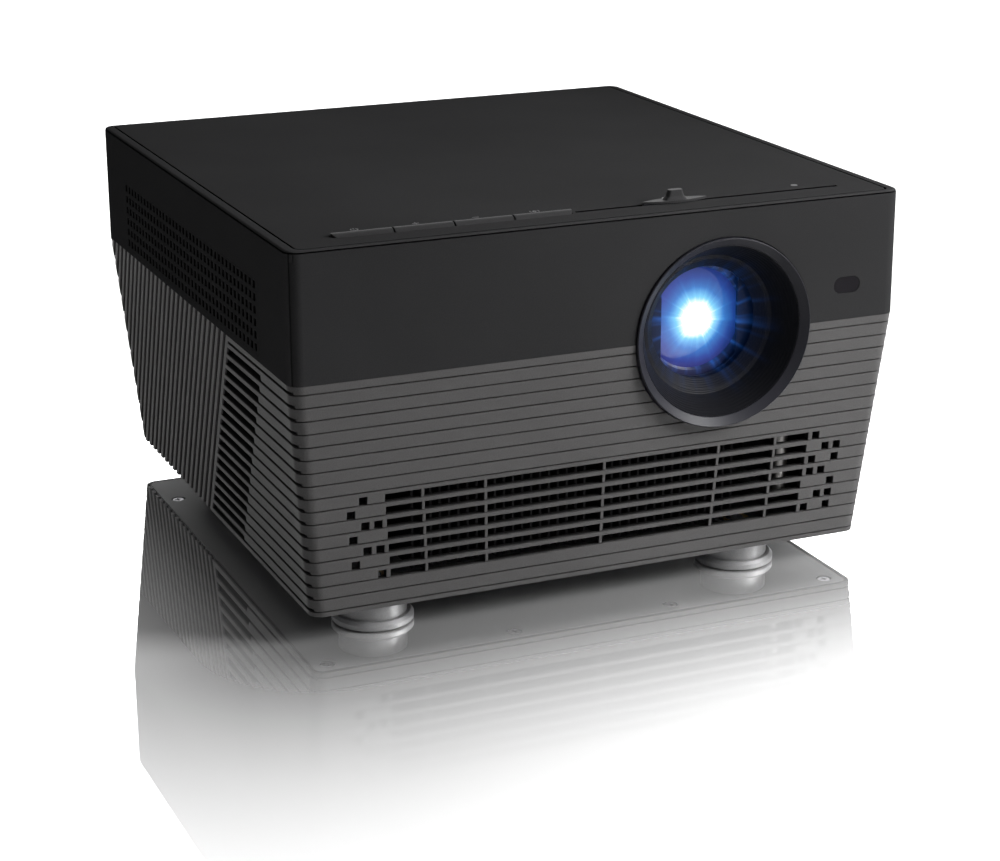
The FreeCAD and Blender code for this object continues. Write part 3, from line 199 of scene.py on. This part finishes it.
# Each pair is where the painted shade starts and where it is full.
GROOVE_DEPTHS = (0.35 * MM, 0.8 * MM)        # behind the faces of the lower casing
LINE_DEPTHS = (0.2 * MM, 0.4 * MM)           # behind the faces of the upper band
LID_DEPTHS = (0.03 * MM, 0.1 * MM)           # below the lid's upper face
TOP_EDGE_DEPTHS = (0.48 * MM, 0.6 * MM)      # below the lid's level, past the rounded top edge
GROOVE_DARK = 0.12                           # share of the colour left in the painted shade


def below_lid(graph, depths=LID_DEPTHS):
    """1 on the walls of the lid's slots and on its rim, 0 on its upper face."""
    start, full = depths
    return graph.remap(graph.axes()["Z"], LID_Z - full, LID_Z - start, 1.0, 0.0)


def groove_shade(graph):
    """1 in the grooves and slots of the lower casing, 0 on its faces."""
    return graph.remap(outline_depth(graph), *GROOVE_DEPTHS, 0.0, 1.0)


def band_shade(graph):
    """1 in the thin line under the top edge and in the holes of the upper band, 0 on its faces."""
    deep = graph.remap(outline_depth(graph), *LINE_DEPTHS, 0.0, 1.0)
    return graph.math("MULTIPLY", below_lid(graph, TOP_EDGE_DEPTHS), deep)


def moulded(name, colour, roughness, grain=2600.0, depth=0.02 * MM, specular=0.5, edge=0.0, coat=0.0,
            shade=None):
    """Injection-moulded plastic: spark-eroded grain, slow colour drift, painted shade in the pits.

    shade makes a socket that is 1 where the plastic lies in the dark of a groove; the colour is darkened
    there as painted shade.
    """
    graph = Graph(name)
    drift = graph.noise(14.0, 3.0)
    grain_height = graph.noise(grain, 2.0)
    blend = graph.remap(drift, 0.35, 0.65, 0.0, 1.0)
    base = graph.mix(blend, darker(colour, 0.94), darker(colour, 1.06))
    speck = graph.remap(grain_height, 0.3, 0.7, 0.88, 1.1)
    node = graph.add("Mix", data_type="RGBA", blend_type="MULTIPLY")
    node.inputs["Factor"].default_value = 1.0
    graph.join(base, node.inputs["A"])
    graph.join(speck, node.inputs["B"])
    shown = node.outputs["Result"]
    # painted shade: grooves, slots and the lid's rim get a darker copy of the colour
    if shade:
        shown = graph.mix(shade(graph), shown, darker(colour, GROOVE_DARK))
    graph.join(shown, graph.shader.inputs["Base Color"])
    dull = graph.remap(grain_height, 0.3, 0.7, min(roughness + 0.06, 1.0), roughness - 0.05)
    graph.surface(dull, specular=specular, coat=coat)
    under = graph.soft_edges(edge) if edge else None
    graph.join(graph.bump(grain_height, depth, 0.6, under), graph.shader.inputs["Normal"])
    return graph.material


def metal(name, colour, roughness, stretch=(60.0, 2500.0, 2500.0), depth=0.008 * MM):
    """Metal with fine drawn lines along X and slight tarnish."""
    graph = Graph(name)
    lines = graph.noise(1.0, 3.0, graph.scaled(stretch))
    tarnish = graph.noise(40.0, 4.0)
    base = graph.mix(graph.remap(tarnish, 0.35, 0.7, 0.0, 1.0), colour, darker(colour, 0.8))
    graph.join(base, graph.shader.inputs["Base Color"])
    graph.surface(graph.remap(lines, 0.3, 0.7, roughness - 0.07, roughness + 0.1), metallic=1.0)
    graph.join(graph.bump(lines, depth, 0.5), graph.shader.inputs["Normal"])
    return graph.material


def rubber(name, colour):
    graph = Graph(name)
    fine = graph.noise(3500.0, 2.0)
    base = graph.mix(graph.remap(fine, 0.3, 0.7, 0.0, 1.0), darker(colour, 0.85), darker(colour, 1.2))
    graph.join(base, graph.shader.inputs["Base Color"])
    graph.surface(graph.remap(fine, 0.3, 0.7, 0.95, 0.8), specular=0.3)
    graph.join(graph.bump(fine, 0.03 * MM, 0.7), graph.shader.inputs["Normal"])
    return graph.material


def circuit(name, top_z):
    """Green solder mask with lighter tracks; parts that stand above the board are dark."""
    graph = Graph(name)
    tracks = graph.add("TexBrick")
    tracks.inputs["Scale"].default_value = 160.0
    tracks.inputs["Mortar Size"].default_value = 0.06
    tracks.inputs["Color1"].default_value = (0.01, 0.09, 0.035, 1.0)
    tracks.inputs["Color2"].default_value = (0.012, 0.11, 0.04, 1.0)
    tracks.inputs["Mortar"].default_value = (0.03, 0.2, 0.09, 1.0)
    graph.join(graph.point(), tracks.inputs["Vector"])
    above = graph.math("GREATER_THAN", graph.axes()["Z"], top_z)
    colour = graph.mix(above, tracks.outputs["Color"], (0.018, 0.018, 0.02))
    graph.join(colour, graph.shader.inputs["Base Color"])
    graph.surface(graph.remap(above, 0.0, 1.0, 0.35, 0.55))
    graph.join(graph.bump(graph.noise(900.0, 2.0), 0.02 * MM, 0.4), graph.shader.inputs["Normal"])
    return graph.material


WAVE_SCALE = 20.0


def cloth(name, colour, pitch):
    """Fine woven speaker cloth: two crossed thread waves."""
    graph = Graph(name)
    heights = []
    for direction in ("Y", "Z"):
        wave = graph.add("TexWave", bands_direction=direction)
        wave.inputs["Scale"].default_value = 1.0 / (pitch * WAVE_SCALE)
        graph.join(graph.scaled((WAVE_SCALE,) * 3), wave.inputs["Vector"])
        heights.append(wave.outputs["Fac"])
    weave = graph.math("MULTIPLY", heights[0], heights[1])
    graph.join(graph.mix(weave, darker(colour, 0.35), colour), graph.shader.inputs["Base Color"])
    graph.surface(0.95, specular=0.1)
    graph.join(graph.bump(weave, 0.1 * MM, 0.8), graph.shader.inputs["Normal"])
    return graph.material


# --- The lens and its glow ----------------------------------------------------------

def lens_polar(graph):
    """Distance from the optical axis and the angle round it."""
    axes = graph.axes()
    across = graph.math("SUBTRACT", axes["X"], LENS_CENTRE.x)
    up = graph.math("SUBTRACT", axes["Z"], LENS_CENTRE.z)
    square = graph.math("ADD", graph.math("MULTIPLY", across, across), graph.math("MULTIPLY", up, up))
    return graph.math("SQRT", square), graph.math("ARCTAN2", up, across)


STAR_SETS = ((3, 0.35, 60.0, 1.0), (7, 1.1, 40.0, 0.7), (11, 0.2, 24.0, 0.45))


def star(graph, angle):
    """Painted glare: narrow bright rays of uneven strength round the axis, in three sets, each with its own
    spacing.
    """
    total = None
    for count, phase, power, weight in STAR_SETS:
        turned = graph.math("ADD", graph.math("MULTIPLY", angle, float(count)), phase)
        spike = graph.math("POWER", graph.math("ABSOLUTE", graph.math("COSINE", turned)), power)
        spike = graph.math("MULTIPLY", spike, weight)
        total = spike if total is None else graph.math("ADD", total, spike)
    return total


GLOW_STRENGTH = 2.4
GLOW_R = 19.0 * MM          # the glow's colours run from the axis to here
GLOW_WOBBLE = 2.2 * MM      # unevenness of its edge
RAY_REACH = 0.5 * MM        # how far the rays push the colours out


def lit_glass():
    """Front element: coated glass whose emission stands in for the projector's light coming through it; the
    white core at the axis, the blue rim and the rays are painted light.
    """
    graph = Graph("lens_glass_lit")
    radius, angle = lens_polar(graph)
    wobble = graph.math("MULTIPLY", graph.noise(180.0, 2.0), GLOW_WOBBLE)
    rays = graph.math("MULTIPLY", star(graph, angle), RAY_REACH)
    reach = graph.math("SUBTRACT", graph.math("ADD", radius, wobble), rays)
    place = graph.remap(reach, 0.0, GLOW_R, 0.0, 1.0)
    glow = graph.ramp(place, [
        (0.0, (1.0, 1.0, 1.0)),
        (0.34, (0.85, 0.96, 1.0)),
        (0.44, (0.22, 0.7, 1.0)),
        (0.6, (0.06, 0.36, 1.0)),
        (0.8, (0.03, 0.15, 0.7)),
        (1.0, (0.02, 0.07, 0.4)),
    ])
    power = graph.ramp(place, [
        (0.0, (1.0, 1.0, 1.0)),
        (0.33, (0.6, 0.6, 0.6)),
        (0.42, (0.42, 0.42, 0.42)),
        (0.62, (0.22, 0.22, 0.22)),
        (1.0, (0.12, 0.12, 0.12)),
    ])
    graph.join(glow, graph.shader.inputs["Emission Color"])
    graph.join(graph.math("MULTIPLY", power, GLOW_STRENGTH), graph.shader.inputs["Emission Strength"])
    coating = graph.mix(place, (0.01, 0.02, 0.05), (0.03, 0.015, 0.06))
    graph.join(coating, graph.shader.inputs["Base Color"])
    graph.surface(0.04, specular=0.25, coat=0.3, coat_roughness=0.02)
    return graph.material


def lit_black(name, colour, roughness, spill, inner, outer, specular=0.4, ridge=0.0):
    """Black surround of the lens, with a painted blue spill of the lens's light fading away from the axis.
    """
    graph = Graph(name)
    radius, angle = lens_polar(graph)
    fade = graph.remap(radius, inner, outer, 1.0, 0.0)
    fade = graph.math("MULTIPLY", fade, fade)
    rays = graph.math("ADD", star(graph, angle), 0.3)
    strength = graph.math("MULTIPLY", graph.math("MULTIPLY", fade, rays), spill)
    graph.shader.inputs["Emission Color"].default_value = (0.03, 0.2, 0.85, 1.0)
    graph.join(strength, graph.shader.inputs["Emission Strength"])
    grain = graph.noise(2400.0, 2.0)
    base = graph.mix(graph.remap(grain, 0.3, 0.7, 0.0, 1.0), darker(colour, 0.8), darker(colour, 1.2))
    graph.join(base, graph.shader.inputs["Base Color"])
    graph.surface(graph.remap(grain, 0.3, 0.7, roughness + 0.05, roughness - 0.05), specular=specular)
    height = grain
    if ridge:
        turns = graph.math("SINE", graph.math("MULTIPLY", radius, 2.0 * math.pi / ridge))
        height = graph.math("ADD", graph.math("MULTIPLY", turns, 2.0), grain)
    graph.join(graph.bump(height, 0.02 * MM, 0.6), graph.shader.inputs["Normal"])
    return graph.material


# --- Materials of the CAD nodes -----------------------------------------------------

def paint(node, material):
    slots = NODES[node].data.materials
    slots.clear()
    slots.append(material)


def casing_plastics():
    return [
        (moulded("band_plastic", (0.0148, 0.0148, 0.0152), 0.5, specular=0.0, edge=0.4 * MM,
                 shade=band_shade),
         ("front_bezel",)),
        (moulded("housing_plastic", (0.021, 0.021, 0.0215), 0.5, specular=0.0, edge=0.4 * MM,
                 shade=band_shade),
         ("upper_housing", "speaker_grille_left", "speaker_grille_right")),
        (moulded("lid_plastic", (0.0195, 0.0195, 0.0199), 0.5, specular=0.0, edge=0.3 * MM,
                 shade=below_lid),
         ("top_panel",)),
        (moulded("skirt_plastic", (0.043, 0.042, 0.042), 0.42, depth=0.015 * MM, specular=0.05,
                 edge=0.2 * MM, shade=groove_shade),
         ("front_grille", "rear_panel")),
        # painted light: the side grilles get the front skirt's plastic made about half as light again,
        # standing in for light on the side walls
        (moulded("skirt_side_painted_light", (0.066, 0.0645, 0.0645), 0.5, depth=0.015 * MM, specular=0.04,
                 shade=groove_shade),
         ("side_grille_left", "side_grille_right")),
        # painted light: the base plate's black plastic is made about three times as light, standing in for
        # light that reaches under the body
        (moulded("base_plastic", (0.06, 0.06, 0.061), 0.6),
         ("base_plate",)),
    ]


def fitted_plastics():
    return [
        (moulded("key_plastic", (0.017, 0.017, 0.0175), 0.5, grain=3400.0, depth=0.01 * MM,
                 specular=0.03, edge=0.3 * MM),
         KEYS + ("cover_knob",)),
        (moulded("window_plastic", (0.003, 0.0025, 0.0035), 0.2, depth=0.002 * MM, specular=0.15),
         ("ir_window",)),
        (moulded("ring_satin", (0.0095, 0.0095, 0.0125), 0.38, depth=0.002 * MM, specular=0.12,
                 edge=0.4 * MM),
         ("lens_ring",)),
        (moulded("foot_plastic", (0.12, 0.12, 0.122), 0.42, edge=0.3 * MM),
         ("foot_front_left", "foot_front_right", "rear_feet")),
        (rubber("pad_rubber", (0.02, 0.02, 0.02)),
         ("pad_front_left", "pad_front_right", "rear_pads")),
        (moulded("inner_plastic", (0.011, 0.011, 0.012), 0.6, specular=0.3),
         ("tact_switches", "lens_barrel", "focus_ring", "intake_fan_frame", "intake_fan_rotor",
          "exhaust_fan_frame", "exhaust_fan_rotor", "audio_jack", "power_inlet",
          "speaker_left", "speaker_right")),
    ]


def metals():
    return [
        (metal("screw_steel", (0.2, 0.2, 0.21), 0.38),
         ("case_screws", "focus_motor")),
        (metal("socket_steel", (0.6, 0.6, 0.61), 0.3),
         ("hdmi_sockets", "usb_sockets", "engine_bracket")),
        (metal("insert_brass", (0.72, 0.52, 0.26), 0.32),
         ("foot_inserts", "focus_pinion", "inlet_pins")),
        (metal("cast_aluminium", (0.5, 0.51, 0.53), 0.45),
         ("optical_engine",)),
        (metal("pipe_copper", (0.7, 0.42, 0.27), 0.3),
         ("blue_led", "red_led", "green_led")),
        (metal("pipe_nickel", (0.4, 0.39, 0.38), 0.34),
         ("heat_pipes",)),
        # the heat sinks are made near-black, so that their fins look dim through the vents
        (moulded("sink_near_black", (0.006, 0.006, 0.0065), 0.6, specular=0.1),
         ("left_heat_sink", "right_heat_sink")),
    ]


def lens_materials():
    return [
        # painted light: the hood, the plates and the retainer glow blue near the lens axis
        (lit_black("hood_black", (0.003, 0.003, 0.0038), 0.5, spill=0.1, inner=15.0 * MM,
                   outer=27.0 * MM, specular=0.06, ridge=0.6 * MM),
         ("lens_hood",)),
        (lit_black("plate_black", (0.003, 0.003, 0.005), 0.45, spill=0.25, inner=14.0 * MM,
                   outer=24.0 * MM, specular=0.1),
         ("aperture_plate", "lens_cover")),
        (lit_black("retainer_metal", (0.01, 0.008, 0.022), 0.35, spill=0.4, inner=16.0 * MM,
                   outer=22.0 * MM, specular=0.35),
         ("lens_retainer",)),
        (lit_glass(),
         ("front_lens",)),
        (moulded("rear_glass", (0.02, 0.03, 0.05), 0.06, depth=0.001 * MM, coat=1.0),
         ("rear_lens",)),
    ]


MAIN_PARTS_H = 2.9 * MM     # parts of the main board stand this far above it
POWER_BOARD_H = 8.7 * MM    # the power board's face above the lowest point of its node


def circuits():
    """A board's parts are dark above the level given with it."""
    boards = (
        ("keypad_circuit", "keypad_board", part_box("keypad_board")[1].z),
        ("imager_circuit", "imager_board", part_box("imager_board")[1].z),
        ("receiver_circuit", "ir_receiver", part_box("ir_receiver")[1].z),
        ("main_circuit", "main_board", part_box("main_board")[1].z - MAIN_PARTS_H),
        ("power_circuit", "power_board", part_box("power_board")[0].z + POWER_BOARD_H),
    )
    return [(circuit(name, top_z), (node,)) for name, node, top_z in boards]


def paint_frame():
    """Each list holds pairs of a material and the CAD nodes that get it."""
    for pairs in (casing_plastics(), fitted_plastics(), metals(), lens_materials(), circuits()):
        for material, nodes in pairs:
            for node in nodes:
                paint(node, material)


# --- New pieces ---------------------------------------------------------------------

def piece(name, mesh_maker, material, body="casing"):
    """Make a mesh object with mesh_maker(bm), give it a material and let it ride on a body."""
    bm = bmesh.new()
    mesh_maker(bm)
    bmesh.ops.recalc_face_normals(bm, faces=bm.faces)
    mesh = bpy.data.meshes.new(name)
    bm.to_mesh(mesh)
    bm.free()
    mesh.materials.append(material)
    obj = bpy.data.objects.new(name, mesh)
    bpy.context.scene.collection.objects.link(obj)
    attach(obj, body)
    return obj


def slab(bm, outline, z0, z1):
    """A closed flat shape between two levels; outline is a list of (x, y)."""
    low = [bm.verts.new((x, y, z0)) for x, y in outline]
    high = [bm.verts.new((x, y, z1)) for x, y in outline]
    bm.faces.new(low[::-1])
    bm.faces.new(high)
    count = len(outline)
    for index in range(count):
        following = (index + 1) % count
        bm.faces.new((low[index], low[following], high[following], high[index]))


def band_arc(bm, centre, radius, width, start, end, z0, z1, steps=28):
    """Part of a flat ring, as a row of joined blocks; angles in degrees from +X."""
    rings = []
    for step in range(steps + 1):
        angle = math.radians(start + (end - start) * step / steps)
        direction = Vector((math.cos(angle), math.sin(angle)))
        corners = []
        for reach in (radius - width / 2, radius + width / 2):
            spot = Vector(centre) + direction * reach
            for z in (z0, z1):
                corners.append(bm.verts.new((spot.x, spot.y, z)))
        rings.append(corners)
    order = (0, 1, 3, 2)
    for before, after in zip(rings, rings[1:]):
        for index in range(4):
            a, b = order[index], order[(index + 1) % 4]
            bm.faces.new((before[a], before[b], after[b], after[a]))
    if (end - start) % 360:
        for corners in (rings[0], rings[-1]):
            bm.faces.new([corners[i] for i in order])
    else:
        bmesh.ops.remove_doubles(bm, verts=bm.verts, dist=1e-7)


BAR_STEPS = 8               # of each rounded end


def bar(bm, centre, length, width, z0, z1, turn=0.0):
    """A flat bar with rounded ends."""
    direction = Vector((math.cos(math.radians(turn)), math.sin(math.radians(turn))))
    across = Vector((-direction.y, direction.x))
    outline = []
    for end in (1, -1):
        for step in range(BAR_STEPS + 1):
            angle = math.radians(-90 + 180 * step / BAR_STEPS)
            along = end * (length / 2 - width / 2 + width / 2 * math.cos(angle))
            side = end * width / 2 * math.sin(angle)
            spot = Vector(centre) + direction * along + across * side
            outline.append((spot.x, spot.y))
    slab(bm, outline, z0, z1)


INK = 0.05 * MM             # height of a printed mark above the lid, and its depth in it
MARK_R = 1.15 * MM
MARK_W = 0.34 * MM
MARK_SETBACK = 6.2 * MM     # marks sit this far behind the keys' centre line
COVER_TRAVEL = 47.8 * MM    # of the lens cover's slider
DOT_STEPS = 24


def printed_marks():
    """Light marks on the lid: power, plus, minus, focus, and the cover's open and closed ends."""
    ink = moulded("print_ink", (0.11, 0.11, 0.112), 0.6, depth=0.004 * MM, specular=0.0)
    z0, z1 = LID_Z - INK, LID_Z + INK

    def mark_place(node):
        return middle(node).x, middle(node).y + MARK_SETBACK

    power_place, plus_place, minus_place, focus_place = (mark_place(key) for key in KEYS)
    open_place = mark_place("cover_knob")
    shut_x, shut_y = open_place[0] + COVER_TRAVEL, open_place[1]

    def power(bm):
        x, y = power_place
        band_arc(bm, power_place, MARK_R, MARK_W, 125.0, 415.0, z0, z1)
        bar(bm, (x, y + MARK_R * 0.7), MARK_R * 1.2, MARK_W, z0, z1, 90.0)

    def plus(bm):
        x, y = plus_place
        bar(bm, plus_place, MARK_R * 2, MARK_W, z0, z1)
        for side in (-1, 1):
            spot = (x, y + side * (MARK_R / 2 + MARK_W / 4))
            bar(bm, spot, MARK_R - MARK_W / 2, MARK_W, z0, z1, 90.0)

    def minus(bm):
        bar(bm, minus_place, MARK_R * 2, MARK_W, z0, z1)

    def focus(bm):
        band_arc(bm, focus_place, MARK_R * 0.45, MARK_W, 0.0, 360.0, z0, z1)
        for facing in (0.0, 180.0):
            band_arc(bm, focus_place, MARK_R * 1.3, MARK_W, facing - 32.0, facing + 32.0, z0, z1, 10)

    def cover_open(bm):
        band_arc(bm, open_place, MARK_R, MARK_W, 0.0, 360.0, z0, z1)

    def cover_shut(bm):
        angles = [2.0 * math.pi * step / DOT_STEPS for step in range(DOT_STEPS)]
        slab(bm, [(shut_x + MARK_R * math.cos(a), shut_y + MARK_R * math.sin(a)) for a in angles], z0, z1)

    makers = {"mark_power": power, "mark_plus": plus, "mark_minus": minus, "mark_focus": focus,
              "mark_cover_open": cover_open, "mark_cover_shut": cover_shut}
    for name, maker in makers.items():
        piece(name, maker, ink)


def grid_sheet(bm, corners, columns, rows, thickness, sag):
    """A thin closed sheet between four corners, sagging slightly inwards along its normal."""
    a, b, c, d = (Vector(corner) for corner in corners)
    normal = (b - a).cross(d - a).normalized()
    layers = []
    for offset in (0.0, thickness):
        layer = []
        for row in range(rows + 1):
            v = row / rows
            line = []
            for column in range(columns + 1):
                u = column / columns
                spot = a.lerp(b, u).lerp(d.lerp(c, u), v)
                dip = sag * math.sin(math.pi * u) * math.sin(math.pi * v)
                line.append(bm.verts.new(spot + normal * (offset + dip)))
            layer.append(line)
        layers.append(layer)
    front, back = layers
    for row in range(rows):
        for column in range(columns):
            for layer, flip in ((front, False), (back, True)):
                near, far = layer[row], layer[row + 1]
                quad = [near[column], near[column + 1], far[column + 1], far[column]]
                bm.faces.new(quad[::-1] if flip else quad)
    rim = [(0, column) for column in range(columns)] + [(row, columns) for row in range(rows)]
    rim += [(rows, column) for column in range(columns, 0, -1)] + [(row, 0) for row in range(rows, 0, -1)]
    for index, (row, column) in enumerate(rim):
        next_row, next_column = rim[(index + 1) % len(rim)]
        bm.faces.new((front[row][column], front[next_row][next_column],
                      back[next_row][next_column], back[row][column]))


CLOTH_INSET = 1.0 * MM      # edge of the cloth inside the edge of its grille
CLOTH_OFFSET = 0.25 * MM    # cloth outside the grille's inner face


def speaker_cloths():
    """Cloth inside each perforated field, so that nothing inside shows through."""
    material = cloth("speaker_cloth", (0.012, 0.012, 0.013), 0.5 * MM)
    for side, end in ((-1, "left"), (1, "right")):
        low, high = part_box(f"speaker_grille_{end}")
        x = side * (min(abs(low.x), abs(high.x)) + CLOTH_OFFSET)
        y0, y1 = low.y + CLOTH_INSET, high.y - CLOTH_INSET
        z0, z1 = low.z + CLOTH_INSET, high.z - CLOTH_INSET
        corners = [(x, y0, z0), (x, y1, z0), (x, y1, z1), (x, y0, z1)]
        piece(f"speaker_cloth_{end}",
              lambda bm, c=corners: grid_sheet(bm, c, 40, 8, 0.2 * MM, 0.1 * MM),
              material)


SCREEN_INSET = 3.3 * MM     # outer face of a screen behind the outer face of its wall
BASE_INSET = 1.0 * MM       # the base plate's edge inside the wall's lower edge
SCREEN_MARGIN = 10.0 * MM   # a screen starts and ends this far past the fan and the wall's end


def slot_screens():
    """Fine black foam behind the side slots, leaning with the walls: intake filter and exhaust screen."""
    material = cloth("filter_foam", (0.006, 0.006, 0.0065), 0.8 * MM)
    grille_low, grille_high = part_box("side_grille_left")
    base_low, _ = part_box("base_plate")
    top_x = grille_low.x + SCREEN_INSET
    bottom_x = base_low.x + SCREEN_INSET - BASE_INSET
    y0, y1 = grille_low.y + SCREEN_MARGIN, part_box("intake_fan_frame")[1].y + SCREEN_MARGIN
    z0, z1 = grille_low.z + 4.0 * MM, grille_high.z - 2.0 * MM
    for name, side in (("intake_filter", 1), ("exhaust_screen", -1)):
        corners = [(side * bottom_x, y1, z0), (side * bottom_x, y0, z0),
                   (side * top_x, y0, z1), (side * top_x, y1, z1)]
        if side < 0:
            corners = [corners[1], corners[0], corners[3], corners[2]]
        piece(name, lambda bm, c=corners: grid_sheet(bm, c, 40, 30, 0.5 * MM, 0.2 * MM),
              material)


# --- Floor, light and camera ----------------------------------------------------------

FLOOR_R = 8.0
MIRROR_START = 12.0 * MM    # the mirror starts to fade this far from the object
MIRROR_END = 150.0 * MM
MIRROR_SHARE = 0.86
FLOOR_LIFT = 0.22           # painted light: the floor's glow away from the object, keeping it white where the object's shade falls
WHITE = (1.0, 1.0, 1.0, 1.0)


def floor():
    """White gloss board: a clear mirror beside the object, going over to plain white further out, with a
    painted glow there.
    """
    graph = Graph("floor_white")
    drift = graph.remap(graph.noise(3.0, 2.0), 0.3, 0.7, 0.0, 1.0)
    colour = graph.mix(drift, (0.84, 0.84, 0.843), (0.86, 0.86, 0.86))
    graph.join(colour, graph.shader.inputs["Base Color"])
    near = graph.remap(outline_depth(graph), -MIRROR_END, -MIRROR_START, 0.0, 1.0)
    graph.surface(0.012, specular=0.5)
    graph.join(graph.math("MULTIPLY", near, MIRROR_SHARE), graph.shader.inputs["Metallic"])
    graph.shader.inputs["Emission Color"].default_value = WHITE
    far = graph.math("SUBTRACT", 1.0, near)
    graph.join(graph.math("MULTIPLY", far, FLOOR_LIFT), graph.shader.inputs["Emission Strength"])
    bpy.ops.mesh.primitive_circle_add(vertices=96, radius=FLOOR_R, fill_type="NGON", location=(0, 0, 0))
    disc = bpy.context.object
    disc.name = "floor"
    disc.data.materials.append(graph.material)


def aim(obj, target):
    obj.rotation_euler = (Vector(target) - obj.location).to_track_quat("-Z", "Y").to_euler()


def soft_light(name, place, size, power, target=(0.0, 0.0, 0.06), spread=180.0):
    data = bpy.data.lights.new(name, "AREA")
    data.spread = math.radians(spread)
    data.shape = "RECTANGLE"
    data.size, data.size_y = size
    data.energy = power
    lamp = bpy.data.objects.new(name, data)
    lamp.location = place
    bpy.context.scene.collection.objects.link(lamp)
    aim(lamp, target)
    return lamp


STUDIO_DIM = 0.01           # light from all round that falls on the object
STUDIO_MIRRORED = 0.8       # white walls that glossy faces mirror


def studio_walls():
    world = bpy.data.worlds.new("studio")
    bpy.context.scene.world = world
    world.use_nodes = True
    tree = world.node_tree
    background = tree.nodes["Background"]
    background.inputs["Color"].default_value = WHITE
    rays = tree.nodes.new("ShaderNodeLightPath")
    strength = tree.nodes.new("ShaderNodeMapRange")
    strength.inputs["To Min"].default_value = STUDIO_DIM
    strength.inputs["To Max"].default_value = STUDIO_MIRRORED
    tree.links.new(rays.outputs["Is Glossy Ray"], strength.inputs["Value"])
    tree.links.new(strength.outputs["Result"], background.inputs["Strength"])


def lights():
    soft_light("top_light", (0.35, 0.35, 1.5), (1.6, 1.6), 16.5)
    soft_light("key_light", (0.37, -0.34, 0.31), (0.25, 0.25), 1.75, (0.05, -0.08, 0.09), 80.0)
    soft_light("front_light", (0.2, -1.7, 0.75), (1.2, 0.6), 5.6)
    soft_light("rear_light", (1.5, 3.4, 1.25), (4.5, 2.4), 80.0)
    studio_walls()


CAMERA_PLACE = (-0.323056, -0.768324, 0.302374)
CAMERA_LOOK = (0.37647827, 0.87239097, -0.31176611)
CAMERA_ROLL = -0.18         # degrees
CAMERA_LENS = 86.48         # millimetres, on a sensor of SENSOR_WIDTH
SENSOR_WIDTH = 36.0


def camera():
    data = bpy.data.cameras.new("camera")
    data.sensor_width = SENSOR_WIDTH
    data.lens = CAMERA_LENS
    data.clip_start = 0.01
    obj = bpy.data.objects.new("camera", data)
    bpy.context.scene.collection.objects.link(obj)
    look = Vector(CAMERA_LOOK).normalized()
    right = look.cross(Vector((0, 0, 1))).normalized()
    up = right.cross(look)
    turn = Matrix((right, up, -look)).transposed()
    roll = Matrix.Rotation(math.radians(CAMERA_ROLL), 3, "Z")
    obj.matrix_world = Matrix.Translation(CAMERA_PLACE) @ (turn @ roll).to_4x4()
    bpy.context.scene.camera = obj


paint_frame()
printed_marks()
speaker_cloths()
slot_screens()
floor()
lights()
camera()
bpy.context.scene.view_settings.view_transform = "Standard"
